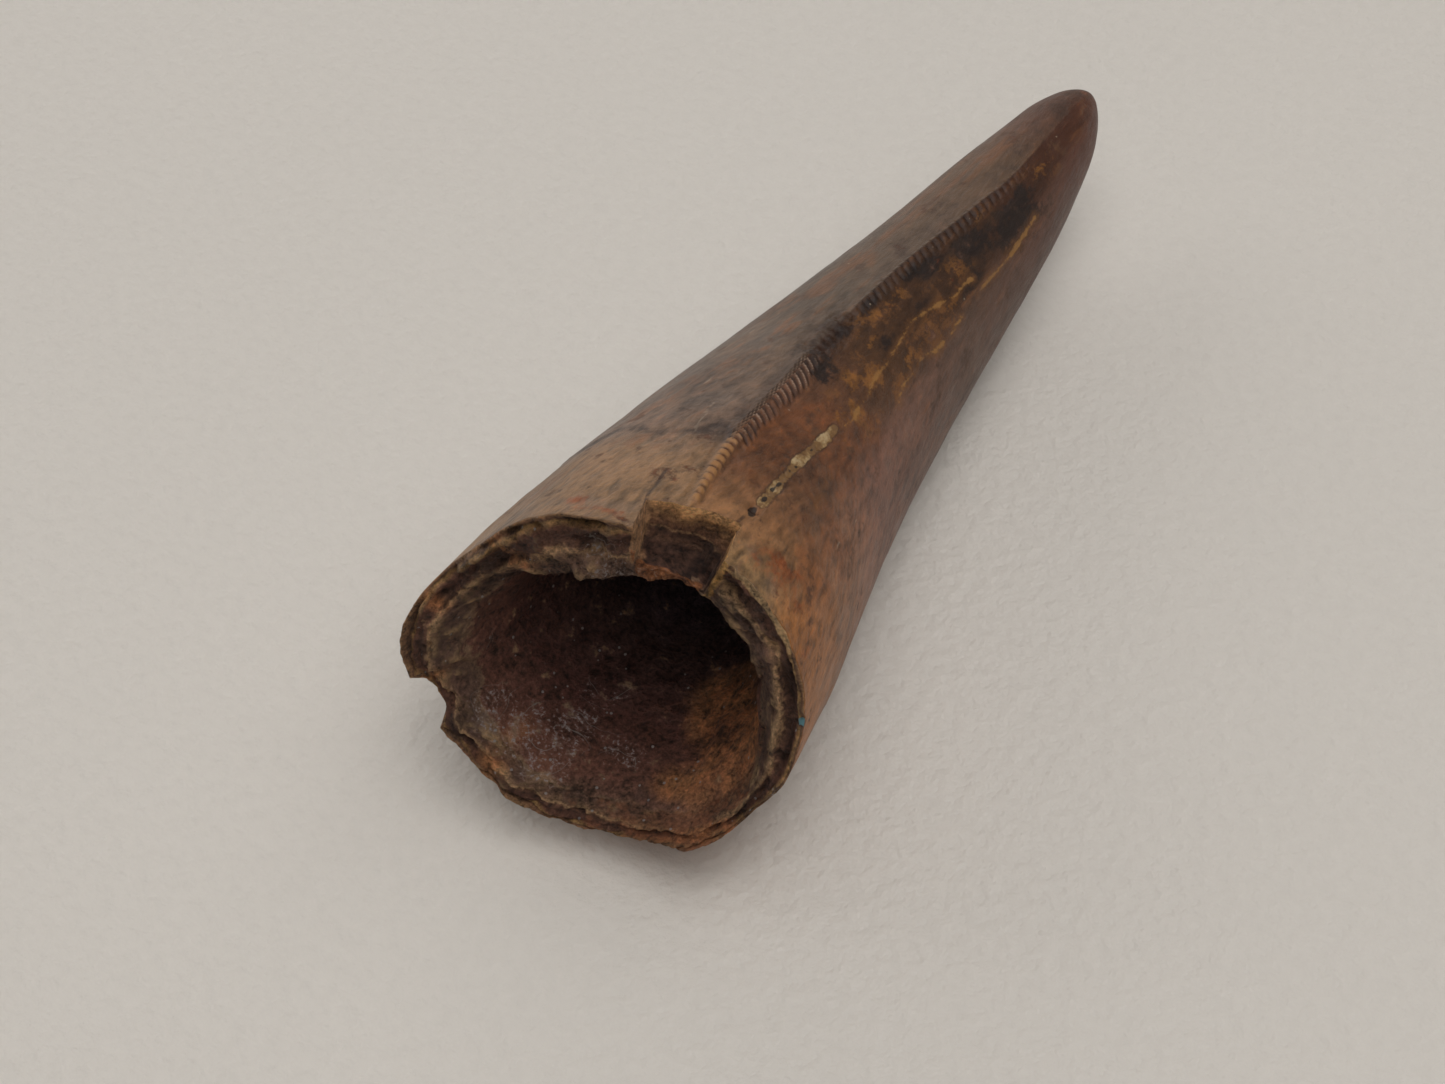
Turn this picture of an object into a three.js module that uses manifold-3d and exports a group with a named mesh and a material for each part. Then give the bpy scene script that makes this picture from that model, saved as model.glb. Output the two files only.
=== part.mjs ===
// Fossil tyrannosaurus tooth: a shed crown with an open pulp cavity at its broken base.
// One piece that grew as one, so the whole tooth is one solid.
// Millimetres, +Z up. The tooth lies on its convex side: the base opens towards -Y and the
// point is towards +Y. The origin is under the middle of the tooth, on the surface it rests on.
//
// A place on the crown is given by its distance y along the tooth, measured from the base,
// and its angle around it in degrees: 0 is the +X side and 90 is the top.

import * as THREE from 'three';
import { mergeVertices } from 'three/addons/utils/BufferGeometryUtils.js';
import Module from 'manifold-3d';

const wasm = await Module();
wasm.setup();

// ---- Driving dimensions ------------------------------------------------------------------

const LENGTH = 53;                      // base to point, along the crown
const LIE = -6.5;                       // degrees the crown dips forward onto its convex side
const REST_LEVEL = -1.14;               // height of the worn flat that it lies on
const ORIGIN_SHIFT = [0.1, -25.76];     // puts the origin under the middle of the tooth

// The crown's middle line, as a cubic curve: it sags, then lifts towards the point.
const MIDDLE_LINE = new THREE.CubicBezierCurve3(
  new THREE.Vector3(0, 0, 10.0),
  new THREE.Vector3(-3.15, LENGTH / 3, 6.7),
  new THREE.Vector3(-1.7, 2 * LENGTH / 3, 7.0),
  new THREE.Vector3(-0.8, LENGTH, 12.85),
);

// Half the crown's width at places along it.
const HALF_WIDTH = [[0, 10], [6.4, 9.5], [13.3, 8.3], [21.2, 6.8], [29.2, 5.5], [37.1, 4.4],
  [43.5, 3.5], [48.8, 2.45]];
const CAP_START = 48.8;                 // the rounded point begins here
const CAP_SLOPE = -0.21;
const CAP_POWER = 2.2;

const HEIGHT_RATIO = [0.91, 1.18];      // height to width, at the base and at the point
const SECTION_POWER = 2.06;             // 2 is an ellipse, more is squarer
const FLAT_SHOULDER = [140, 32, -0.165]; // upper left of the base: angle, spread, share of radius
const FULL_SHOULDER = [40, 32, 0.06];   // upper right of the base
const SHOULDER_FADE = 32;               // both shoulders have gone this far up the crown

// The broken rim: how far along the crown the outer edge lies, angle by angle.
const RIM = [[-174, -0.7], [-167, -0.6], [-161, -0.4], [-157, 0.6], [-150, 1.1], [-146, 1.2],
  [-144, 0.6], [-142, -0.2], [-127, -0.1], [-119, -0.2], [-116, -0.6], [-105, -0.4], [-97, -0.2],
  [-87, 0.1], [-75, 0.1], [-66, -0.3], [-56, -0.8], [-49, -0.5], [-43, 0.1], [-36, 0.8],
  [-28, 0.7], [-18, 0.2], [-7, -0.2], [5, 0.4], [16, 0.1], [30, 0.1], [45, 0.3], [54, 0.5],
  [79, -0.5], [97, -0.6], [113, -0.4], [125, 0], [142, 0.8], [156, 1.0], [164, 0.3], [171, -0.3],
  [178, -0.7]];
const RIM_STEP = 5;                     // widest gap between two rim points, in degrees

// The wall at the rim: thickness by angle, and its broken layers as share and depth in mm.
const WALL = [[-180, 2.2], [-135, 1.1], [-90, 0.9], [-45, 1.0], [0, 2.5], [45, 2.9], [90, 3.2],
  [135, 2.7]];
const LAYERS = [[0.16, 0.0], [0.28, 0.45], [0.42, 0.15], [0.58, 0.55], [1, 1.0]];

const CAVITY_DEPTH = 27;                // pulp cavity, from the rim to its blind end
const CAVITY_POWER = 0.95;
const CAVITY_ROWS = 9;
const CAVITY_COLUMNS = 32;

// The serrated edges: angle along the crown, and where the teeth of the edge begin and end.
const BACK_EDGE = {
  path: [[2, 72], [9.3, 76], [17.4, 78], [23, 82], [27.3, 82], [32, 81], [38.5, 74], [42, 69],
    [51, 67]],
  start: 3.2, end: 50, pitch: 0.63, ridge: 0.22, notch: 0.3,
};
const FRONT_EDGE = {
  path: [[2, -104], [20, -104], [36, -100], [51, -96]],
  start: 27, end: 50, pitch: 0.6, ridge: 0.16, notch: 0.16,
};
const EDGE_HALF_WIDTH = 1.2;            // how far a serrated edge spreads to each side
const EDGE_PROFILE = [0, 0.5, 1, 0.5, 0];
const EDGE_RUN_IN = 3;                  // length over which a serrated edge rises

// The mesh of the smooth crown.
const COLLAR = 3;                       // the crown's rows begin here, beyond the broken rim
const CROWN_TOP = 52.4;
const CROWN_ROWS = 30;
const SIDE_COLUMNS = 18;                // on each side between the two serrated edges

// The piece that broke out of the outer wall at the rim: outline in mm, across to the
// right and along.
const NOTCH_ANGLE = 70;
const NOTCH_OUTLINE = [[-1.2, -3], [-1.4, -0.5], [-2.3, 1.9], [-0.8, 2.4], [0.7, 3.0], [1.9, 3.2],
  [2.2, 0.5], [2.5, -3]];
const NOTCH_DEPTH = 2.4;
const NOTCH_HEIGHT = 6;

// The open crack beside the serrated edge: angle along the crown.
const CRACK = [[4.6, 58.5], [7.6, 58], [11.7, 57], [15.2, 55]];
const CRACK_WIDTH = 0.5;
const CRACK_DEPTH = 0.35;

const COLOUR = 0x5a4334;
const ROUGHNESS = 0.5;

// ---- Curves ------------------------------------------------------------------------------

// Straight lines between the points of a list of [key, value].
function straight(list, x) {
  let i = 0;
  while (i < list.length - 2 && x > list[i + 1][0]) {
    i += 1;
  }
  const [a, b] = [list[i], list[i + 1]];
  return a[1] + (b[1] - a[1]) * (x - a[0]) / (b[0] - a[0]);
}

// A smooth curve through the points of a list of [key, value].
function smooth(list, x) {
  let i = 0;
  while (i < list.length - 2 && x > list[i + 1][0]) {
    i += 1;
  }
  const [a, b] = [list[i], list[i + 1]];
  const before = list[i - 1] ?? a;
  const after = list[i + 2] ?? b;
  const span = b[0] - a[0];
  const slopeA = (b[1] - before[1]) / (b[0] - before[0]) * span;
  const slopeB = (after[1] - a[1]) / (after[0] - a[0]) * span;
  const t = Math.max(0, Math.min(1, (x - a[0]) / span));
  const beyond = (x - a[0]) / span - t;
  const cubic = (2 * a[1] - 2 * b[1] + slopeA + slopeB) * t ** 3
    + (3 * b[1] - 3 * a[1] - 2 * slopeA - slopeB) * t ** 2 + slopeA * t + a[1];
  return cubic + beyond * (t > 0.5 ? slopeB : slopeA);
}

// The same list repeated once on each side, for values that go round the tooth.
function around(list) {
  return [-360, 0, 360].flatMap((turn) => list.map(([angle, value]) => [angle + turn, value]));
}

const wrapped = (angle) => ((angle + 180) % 360 + 360) % 360 - 180;
const fadeOut = (t) => 1 - THREE.MathUtils.smoothstep(t, 0, 1);
const rimAround = around(RIM);
const wallAround = around(WALL);
const rimEdge = (angle) => straight(rimAround, wrapped(angle));
const wallThickness = (angle) => smooth(wallAround, wrapped(angle));

// ---- The crown's surface -----------------------------------------------------------------

function halfWidth(y) {
  const along = smooth(HALF_WIDTH, Math.min(y, CAP_START));
  const past = Math.max(0, y - CAP_START);
  const share = Math.min(1, past / (LENGTH - CAP_START));
  return (along + CAP_SLOPE * past) * Math.sqrt(1 - share ** CAP_POWER);
}

function shoulder([centre, spread, amount], angle) {
  return amount * Math.exp(-((wrapped(angle - centre) / spread) ** 2));
}

// The section at y: its middle, and unit vectors to the right, up and along.
function section(y) {
  const t = y / LENGTH;
  const inside = THREE.MathUtils.clamp(t, 0, 1);
  const along = MIDDLE_LINE.getTangent(inside);
  const middle = MIDDLE_LINE.getPoint(inside).addScaledVector(along, (t - inside) * LENGTH);
  const right = new THREE.Vector3(along.y, -along.x, 0).normalize();
  const up = new THREE.Vector3().crossVectors(right, along);
  return { middle, right, up, along };
}

// From the section's middle to the smooth outer surface.
function reach(y, angle) {
  const { right, up } = section(y);
  const share = THREE.MathUtils.clamp(y / LENGTH, 0, 1);
  const c = Math.cos(THREE.MathUtils.degToRad(angle));
  const s = Math.sin(THREE.MathUtils.degToRad(angle));
  const square = (Math.abs(c) ** SECTION_POWER + Math.abs(s) ** SECTION_POWER)
    ** (-1 / SECTION_POWER);
  const fade = fadeOut(y / SHOULDER_FADE);
  const full = 1 + fade * (shoulder(FLAT_SHOULDER, angle) + shoulder(FULL_SHOULDER, angle));
  const radius = halfWidth(y) * square * full;
  const ratio = THREE.MathUtils.lerp(HEIGHT_RATIO[0], HEIGHT_RATIO[1], share);
  return new THREE.Vector3()
    .addScaledVector(right, radius * c)
    .addScaledVector(up, radius * s * ratio);
}

// A point of the tooth, raised from the outer surface, or sunk under it if rise is negative.
function crownPoint(y, angle, rise = 0) {
  const spoke = reach(y, angle);
  const length = spoke.length();
  return section(y).middle.addScaledVector(spoke, (length + rise) / length);
}

// The cavity narrows evenly from the inner lip of the wall to its blind end.
function cavityPoint(y, angle) {
  const spoke = reach(y, angle).normalize();
  const mouth = reach(0, angle).length() - wallThickness(angle);
  const taper = Math.max(0, 1 - y / CAVITY_DEPTH) ** CAVITY_POWER;
  return section(y).middle.addScaledVector(spoke, mouth * taper);
}

// ---- The mesh ----------------------------------------------------------------------------

const positions = [];
const faces = [];

// Adds a point and gives it a key, which orders it along its line. A point of the crown also
// keeps its angle.
function add(point, key, angle = key) {
  positions.push(point.x, point.y, point.z);
  return { id: positions.length / 3 - 1, key, angle };
}

// Fills the strip between two lines of points whose keys both rise.
function stitch(first, second) {
  let [i, j] = [0, 0];
  while (i < first.length - 1 || j < second.length - 1) {
    const firstNext = first[i + 1]?.key ?? Infinity;
    const secondNext = second[j + 1]?.key ?? Infinity;
    if (firstNext <= secondNext) {
      faces.push(first[i].id, second[j].id, first[i + 1].id);
      i += 1;
    } else {
      faces.push(first[i].id, second[j].id, second[j + 1].id);
      j += 1;
    }
  }
}

// A ring whose last point is its first one again, a turn further on.
const closed = (ring) => [...ring, { id: ring[0].id, key: ring[0].key + 360 }];

// Closes a ring with a fan of faces to one point, seen from the point's side or the other.
function closeWith(ring, point, pointOutside) {
  const tip = add(point, 0).id;
  const loop = closed(ring);
  for (let i = 0; i < ring.length; i += 1) {
    const [a, b] = pointOutside ? [i + 1, i] : [i, i + 1];
    faces.push(loop[a].id, loop[b].id, tip);
  }
}

const crownRows = Array.from({ length: CROWN_ROWS + 1 }, (_, i) => {
  const share = i / CROWN_ROWS;
  return COLLAR + (CROWN_TOP - COLLAR) * (1 - (1 - share) ** 1.25);
});

// Rows for a serrated edge: two for each of its teeth, and the crown's own rows elsewhere.
function edgeRows(edge) {
  const teeth = Math.floor((edge.end - edge.start) / edge.pitch);
  const last = edge.start + teeth * edge.pitch;
  const plain = crownRows.filter((y) => y < edge.start - 0.1 || y > last + 0.1);
  const fine = Array.from({ length: 2 * teeth + 1 }, (_, i) => edge.start + i * edge.pitch / 2);
  return [...plain, ...fine].sort((a, b) => a - b);
}

// How far a serrated edge stands above the crown: a ridge, and on it the teeth of the edge.
function edgeRise(edge, y) {
  const begin = THREE.MathUtils.smoothstep(y, edge.start - 0.5, edge.start + EDGE_RUN_IN);
  const finish = 1 - THREE.MathUtils.smoothstep(y, edge.end - EDGE_RUN_IN, edge.end + 1);
  const half = Math.round((y - edge.start) / (edge.pitch / 2));
  const onTooth = y >= edge.start && y <= edge.end && half % 2 === 1;
  const tooth = onTooth ? edge.notch * (0.6 + 0.4 * begin) : 0;
  return (edge.ridge * begin + tooth) * finish;
}

// The lines of points that run along a serrated edge, from one of its sides to the other.
function edgeLines(edge) {
  const middle = (EDGE_PROFILE.length - 1) / 2;
  return EDGE_PROFILE.map((height, column) => edgeRows(edge).map((y) => {
    const angle = smooth(edge.path, y);
    const radius = reach(y, angle).length();
    const across = EDGE_HALF_WIDTH * (column - middle) / middle;
    const turn = THREE.MathUtils.radToDeg(Math.min(across / radius, 0.9));
    return add(crownPoint(y, angle + turn, height * edgeRise(edge, y)), y, angle + turn);
  }));
}

// The smooth lines between two serrated edges.
function sideLines(from, to) {
  return Array.from({ length: SIDE_COLUMNS }, (_, i) => crownRows.map((y) => {
    const share = (i + 1) / (SIDE_COLUMNS + 1);
    const [start, end] = [smooth(from.path, y), smooth(to.path, y)];
    const span = ((end - start) % 360 + 360) % 360;
    const margin = THREE.MathUtils.radToDeg(Math.min(EDGE_HALF_WIDTH / halfWidth(y), 0.9));
    const angle = start + margin + (span - 2 * margin) * share;
    return add(crownPoint(y, angle), y, angle);
  }));
}

function makeCrown() {
  const lines = [
    ...edgeLines(FRONT_EDGE), ...sideLines(FRONT_EDGE, BACK_EDGE),
    ...edgeLines(BACK_EDGE), ...sideLines(BACK_EDGE, FRONT_EDGE),
  ];
  lines.forEach((line, i) => stitch(lines[(i + 1) % lines.length], line));
  closeWith(lines.map((line) => line.at(-1)), section(LENGTH).middle, true);
  return lines.map(([first]) => ({ id: first.id, key: first.angle }));
}

// The angles of the rim's own points, with more wherever the gap between two is wide.
function rimAngles() {
  return RIM.flatMap(([angle], i) => {
    const next = i + 1 < RIM.length ? RIM[i + 1][0] : RIM[0][0] + 360;
    const parts = Math.ceil((next - angle) / RIM_STEP);
    return Array.from({ length: parts }, (_, part) => angle + (next - angle) * part / parts);
  });
}

// The broken wall: its outer edge, its layers and its inner lip, ring by ring.
function makeRim(collar) {
  const angles = rimAngles().map((angle) => (angle < collar[0].key ? angle + 360 : angle));
  angles.sort((a, b) => a - b);
  const edge = angles.map((angle) => add(crownPoint(rimEdge(angle), angle), angle));
  stitch(closed(edge), closed(collar));
  let outer = edge;
  for (const [share, depth] of LAYERS) {
    const ring = angles.map((angle) => {
      const uneven = 1 + 0.35 * Math.sin(angle * 0.13) + 0.25 * Math.sin(angle * 0.41);
      const y = 0.6 * rimEdge(angle) + depth * uneven;
      return add(crownPoint(y, angle, -share * wallThickness(angle)), angle);
    });
    stitch(closed(ring), closed(outer));
    outer = ring;
  }
  return outer;
}

function makeCavity(lip) {
  let outer = lip;
  for (let row = 1; row <= CAVITY_ROWS; row += 1) {
    const y = CAVITY_DEPTH * row / (CAVITY_ROWS + 0.6);
    const ring = Array.from({ length: CAVITY_COLUMNS }, (_, i) => {
      const angle = lip[0].key + 360 * i / CAVITY_COLUMNS;
      return add(cavityPoint(y, angle), angle);
    });
    stitch(closed(ring), closed(outer));
    outer = ring;
  }
  closeWith(outer, section(CAVITY_DEPTH).middle, false);
}

// ---- Joining and cutting -----------------------------------------------------------------

function solidFrom(geometry) {
  const bare = new THREE.BufferGeometry();
  bare.setAttribute('position', geometry.getAttribute('position').clone());
  bare.setIndex(geometry.getIndex());
  const merged = mergeVertices(bare, 1e-4);
  return new wasm.Manifold(new wasm.Mesh({
    numProp: 3,
    vertProperties: new Float32Array(merged.getAttribute('position').array),
    triVerts: new Uint32Array(merged.getIndex().array),
  }));
}

function geometryFrom(solid) {
  const mesh = solid.getMesh();
  const geometry = new THREE.BufferGeometry();
  geometry.setAttribute('position', new THREE.BufferAttribute(mesh.vertProperties, 3));
  geometry.setIndex(new THREE.BufferAttribute(mesh.triVerts, 1));
  geometry.computeVertexNormals();
  return geometry;
}

function notchCutter() {
  const { along } = section(0);
  const outwards = reach(0, NOTCH_ANGLE).normalize();
  const across = new THREE.Vector3().crossVectors(along, outwards).normalize();
  const shape = new THREE.Shape(NOTCH_OUTLINE.map(([x, y]) => new THREE.Vector2(x, y)));
  const cutter = new THREE.ExtrudeGeometry(shape, { depth: NOTCH_HEIGHT, bevelEnabled: false });
  const place = new THREE.Matrix4().makeBasis(across, along, outwards);
  place.setPosition(crownPoint(0, NOTCH_ANGLE, -NOTCH_DEPTH));
  return solidFrom(cutter.applyMatrix4(place));
}

function crackCutter() {
  const path = new THREE.CatmullRomCurve3(CRACK.map(([y, angle]) => crownPoint(y, angle)));
  const half = CRACK_WIDTH / 2;
  const diamond = new THREE.Shape([
    new THREE.Vector2(-half, 0), new THREE.Vector2(0, -CRACK_DEPTH),
    new THREE.Vector2(half, 0), new THREE.Vector2(0, CRACK_DEPTH),
  ]);
  return solidFrom(new THREE.ExtrudeGeometry(diamond, { extrudePath: path, steps: 8 }));
}

function floorCutter() {
  const slab = new THREE.BoxGeometry(4 * LENGTH, 4 * LENGTH, LENGTH);
  slab.translate(0, 0, REST_LEVEL - LENGTH / 2);
  return solidFrom(slab);
}

function makeTooth() {
  const collar = makeCrown();
  makeCavity(makeRim(collar));
  const whole = new THREE.BufferGeometry();
  whole.setAttribute('position', new THREE.Float32BufferAttribute(positions, 3));
  whole.setIndex(faces);
  const broken = geometryFrom(solidFrom(whole).subtract(notchCutter()).subtract(crackCutter()));
  broken.rotateX(THREE.MathUtils.degToRad(LIE));
  const geometry = geometryFrom(solidFrom(broken).subtract(floorCutter()));
  geometry.translate(ORIGIN_SHIFT[0], ORIGIN_SHIFT[1], -REST_LEVEL);
  return geometry;
}

const material = new THREE.MeshStandardMaterial({
  color: COLOUR, roughness: ROUGHNESS, metalness: 0, flatShading: true,
});
const tooth = new THREE.Mesh(makeTooth(), material);
tooth.name = 'tooth';

const group = new THREE.Group();
group.add(tooth);

export default group;
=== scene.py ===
"""Fossil tyrannosaurus tooth: a shed crown lying on its convex side, its pulp cavity open.

Lengths in the tables are millimetres and angles are degrees. A place on the crown is given by
its distance y along the tooth, measured from the base, and its angle around it: 0 is the +X
side and 90 is the top. The mesh itself is in metres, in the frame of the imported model.
"""

import math
from functools import lru_cache

import bmesh
import bpy
from mathutils import Matrix, Vector, noise


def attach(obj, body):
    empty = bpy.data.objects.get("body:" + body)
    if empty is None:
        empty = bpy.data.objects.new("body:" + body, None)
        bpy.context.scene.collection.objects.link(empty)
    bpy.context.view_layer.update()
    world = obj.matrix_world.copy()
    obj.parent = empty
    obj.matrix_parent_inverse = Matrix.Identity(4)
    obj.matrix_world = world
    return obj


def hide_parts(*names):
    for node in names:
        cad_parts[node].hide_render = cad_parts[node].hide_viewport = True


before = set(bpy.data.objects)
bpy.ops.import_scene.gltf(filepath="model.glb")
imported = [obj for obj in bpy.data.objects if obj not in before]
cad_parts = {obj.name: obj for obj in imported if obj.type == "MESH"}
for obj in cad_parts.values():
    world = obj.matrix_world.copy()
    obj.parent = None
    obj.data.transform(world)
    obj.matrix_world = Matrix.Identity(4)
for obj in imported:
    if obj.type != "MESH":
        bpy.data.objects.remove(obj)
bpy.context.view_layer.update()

bl_info = {
    "name": "Fossil tyrannosaurus tooth",
    "version": (1, 0, 0),
    "blender": (4, 5, 0),
    "location": "3D View > Sidebar > Fossil Tooth",
    "description": "Builds a fossil theropod tooth with its worn enamel, serrated edge, broken rim "
                   "and open pulp cavity",
    "category": "Object",
}

MM = 0.001

# ---- The crown's smooth form, as in the solid model ---------------------------------------

LENGTH = 53.0
LIE = math.radians(-6.5)
REST_LEVEL = -1.14
ORIGIN_SHIFT = Vector((0.1, -25.76, -REST_LEVEL))
MIDDLE_LINE = [Vector(p) for p in (
    (0, 0, 10.0), (-3.15, LENGTH / 3, 6.7), (-1.7, 2 * LENGTH / 3, 7.0), (-0.8, LENGTH, 12.85))]
HALF_WIDTH = [(0, 10), (6.4, 9.5), (13.3, 8.3), (21.2, 6.8), (29.2, 5.5), (37.1, 4.4),
              (43.5, 3.5), (48.8, 2.45)]
CAP_START, CAP_SLOPE, CAP_POWER = 48.8, -0.21, 2.2
HEIGHT_RATIO = (0.91, 1.18)
SECTION_POWER = 2.06
SHOULDERS = [(140, 32, -0.165), (40, 32, 0.06)]
SHOULDER_FADE = 32
RIM = [(-174, -0.7), (-167, -0.6), (-161, -0.4), (-157, 0.6), (-150, 1.1), (-146, 1.2),
       (-144, 0.6), (-142, -0.2), (-127, -0.1), (-119, -0.2), (-116, -0.6), (-105, -0.4),
       (-97, -0.2), (-87, 0.1), (-75, 0.1), (-66, -0.3), (-56, -0.8), (-49, -0.5), (-43, 0.1),
       (-36, 0.8), (-28, 0.7), (-18, 0.2), (-7, -0.2), (5, 0.4), (16, 0.1), (30, 0.1),
       (45, 0.3), (54, 0.5), (79, -0.5), (97, -0.6), (113, -0.4), (125, 0), (142, 0.8),
       (156, 1.0), (164, 0.3), (171, -0.3), (178, -0.7)]
WALL = [(-180, 2.2), (-135, 1.1), (-90, 0.9), (-45, 1.0), (0, 2.5), (45, 2.9), (90, 3.2),
        (135, 2.7)]
CAVITY_DEPTH, CAVITY_POWER = 27.0, 0.95
THICKER_LIP = [(-180, 0), (62, 0), (80, 0.4), (95, 0.75), (110, 0.7), (130, 0.35), (150, 0),
               (180, 0)]
BACK_EDGE = [(2, 72), (9.3, 76), (17.4, 78), (23, 82), (27.3, 82), (32, 81), (38.5, 74),
             (42, 69), (51, 67)]
FRONT_EDGE = [(2, -104), (20, -104), (36, -100), (51, -96)]
NOTCH_ANGLE, NOTCH_DEPTH, NOTCH_HEIGHT = 70, 2.4, 6.0
NOTCH_OUTLINE = [(-1.7, -3), (-1.9, -0.6), (-2.3, 1.8), (-0.8, 2.4), (0.7, 3.0), (1.9, 3.2),
                 (2.3, 0.5), (2.3, -3)]

# ---- Fine forms that the solid model leaves out ------------------------------------------

SERRATION_START, PITCH = 3.2, 0.63
FRONT_START, FRONT_PITCH = 27.0, 0.6
KEEL = [(2, 0.0), (6, 0.04), (12, 0.14), (18, 0.3), (26, 0.36), (38, 0.32), (44, 0.16),
        (48, 0.03), (53, 0.0)]
# Each part of the serrated edge comes in between the first two of these places along the
# crown, and goes out between the last two.
BEADS, RIDGES = (3.0, 3.3, 9.0, 11.0), (8.6, 10.6, 19.4, 20.6)
WORN_GAP, BLOCKS = (19.4, 20.8, 24.5, 26.0), (24.8, 26.5, 38.0, 46.0)
EDGE_START, EDGE_END, EDGE_REACH = 2.4, 52.5, 3.2
BEAD_HALF_WIDTH = 0.2
CRACK = [(4.5, 59.5), (5.5, 58.5), (7.6, 58), (11.7, 57.2), (14.8, 54.5), (16.0, 54.5)]
CRACK_HALF_WIDTH, CRACK_ENDS = 0.26, (4.2, 4.8, 14.8, 16.4)
CRACK_HOLES = [(5.2, 0.25, 0.4), (7.7, 0.35, 0.3)]  # place, depth and length
ENAMEL_LINE = [(-104, 7.0), (-20, 6.0), (60, 5.5), (81, 10.6), (88, 9.2), (93, 8.8),
               (100, 8.6), (116, 9.0), (122, 8.5), (150, 9.4), (190, 8.0), (256, 7.0)]
BASE_RADIUS = 10  # of the circle on which the uneven ground of the break is laid out
# The broken wall, by angle: depth of the splits between its layers, by the outside and in the
# middle, where the middle one lies (0 outside, 1 inside), and how far the lip is rounded away.
OUTER_SPLIT = [(-180, 0.3), (-160, 0.25), (-148, 0.1), (-95, 0.15), (-84, 0.35), (-60, 0.3),
               (-48, 0.1), (-20, 0.05), (0, 0.1), (50, 0.0), (84, 0.0), (90, 0.35),
               (115, 0.35), (150, 0.25), (180, 0.3)]
MIDDLE_SPLIT = [(-180, 0.4), (-160, 0.3), (-148, 0.1), (-100, 0.15), (-60, 0.2), (-20, 0.3),
                (-5, 0.5), (20, 0.7), (46, 0.7), (54, 0.3), (60, 0.0), (84, 0.0), (91, 0.35),
                (120, 0.35), (150, 0.4), (180, 0.4)]
MIDDLE_SPLIT_AT = [(-180, 0.35), (-150, 0.3), (-100, 0.4), (-60, 0.4), (-20, 0.3), (0, 0.25),
                   (52, 0.25), (84, 0.38), (130, 0.42), (180, 0.35)]
LIP_ROUNDING = [(-180, 1.3), (-135, 1.1), (-90, 1.0), (-40, 1.2), (-10, 1.1), (12, 0.5),
                (35, 0.15), (60, 0.0), (95, 0.05), (115, 0.5), (145, 1.0), (180, 1.3)]

# ---- Mesh --------------------------------------------------------------------------------

TIP_ROWS = [53, 52.985, 52.94, 52.86, 52.74, 52.58, 52.38, 52.2]
EDGE_TOP_ROWS = 155  # half a serration apart, from the collar up
COLLAR = SERRATION_START
COLLAR_ROWS, WALL_ROWS, CAVITY_ROWS = 20, 34, 50
SIDE_COLUMNS, FRONT_COLUMNS = 74, 6
# The columns of the band along the back edge, in mm across it, finest over the serrations.
BAND = ([-3.6 + 0.1 * i for i in range(15)] + [-2.2 + 0.13 * i for i in range(1, 11)]
        + [-0.9 + 0.08 * i for i in range(1, 23)] + [0.86 + 0.17 * i for i in range(1, 9)])
FRONT_BAND = 1.2
FINE_MARGIN = 6  # rows into the collar and into the cavity, between which it is cut finer
SAME_POINT = 1e-4
LIP_BLEND = 0.07  # the share of the cavity over which its wall leaves the lip
AWAY = 99.0  # a distance from an edge that is too far for its relief


def clamped(x):
    return min(1.0, max(0.0, x))


def stretch_of(table, x):
    """The number of the stretch of a table that x falls in."""
    i = 0
    while i < len(table) - 2 and x > table[i + 1][0]:
        i += 1
    return i


def straight(table, x):
    i = stretch_of(table, x)
    (x0, y0), (x1, y1) = table[i], table[i + 1]
    return y0 + (y1 - y0) * (x - x0) / (x1 - x0)


def smooth(table, x):
    """The smooth curve that the solid model draws through the same points."""
    i = stretch_of(table, x)
    a, b = table[i], table[i + 1]
    before = table[i - 1] if i else a
    after = table[i + 2] if i + 2 < len(table) else b
    span = b[0] - a[0]
    slope_a = (b[1] - before[1]) / (b[0] - before[0]) * span
    slope_b = (after[1] - a[1]) / (after[0] - a[0]) * span
    share = (x - a[0]) / span
    t = clamped(share)
    cubic = ((2 * a[1] - 2 * b[1] + slope_a + slope_b) * t ** 3
             + (3 * b[1] - 3 * a[1] - 2 * slope_a - slope_b) * t ** 2 + slope_a * t + a[1])
    return cubic + (share - t) * (slope_b if t > 0.5 else slope_a)


def around(table):
    return [(angle + turn, value) for turn in (-360, 0, 360) for angle, value in table]


def wrapped(angle):
    return (angle + 180) % 360 - 180


def ease(start, end, x):
    """0 on the start's side and 1 on the end's side, easing between. Either may be larger."""
    t = clamped((x - start) / (end - start))
    return t * t * (3 - 2 * t)


def shows(x, start, full, fade, end):
    """1 from full to fade, easing in from start and out to end."""
    return ease(start, full, x) * ease(end, fade, x)


def hill(x, centre, width):
    return math.exp(-((x - centre) / width) ** 2)


def on_circle(angle, radius):
    a = math.radians(angle)
    return math.cos(a) * radius, math.sin(a) * radius


RIM_AROUND, WALL_AROUND, OUTER_SPLIT_AROUND, MIDDLE_SPLIT_AROUND, LIP_AROUND = (
    around(table) for table in (RIM, WALL, OUTER_SPLIT, MIDDLE_SPLIT, LIP_ROUNDING))


def thicker_lip(angle):
    return straight(THICKER_LIP, wrapped(angle))


@lru_cache(maxsize=None)
def wall_thickness(angle):
    return smooth(WALL_AROUND, wrapped(angle)) + thicker_lip(angle)


@lru_cache(maxsize=None)
def half_width(y):
    along = smooth(HALF_WIDTH, min(y, CAP_START))
    past = max(0.0, y - CAP_START)
    share = min(1.0, past / (LENGTH - CAP_START))
    return (along + CAP_SLOPE * past) * math.sqrt(1 - share ** CAP_POWER)


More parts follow.
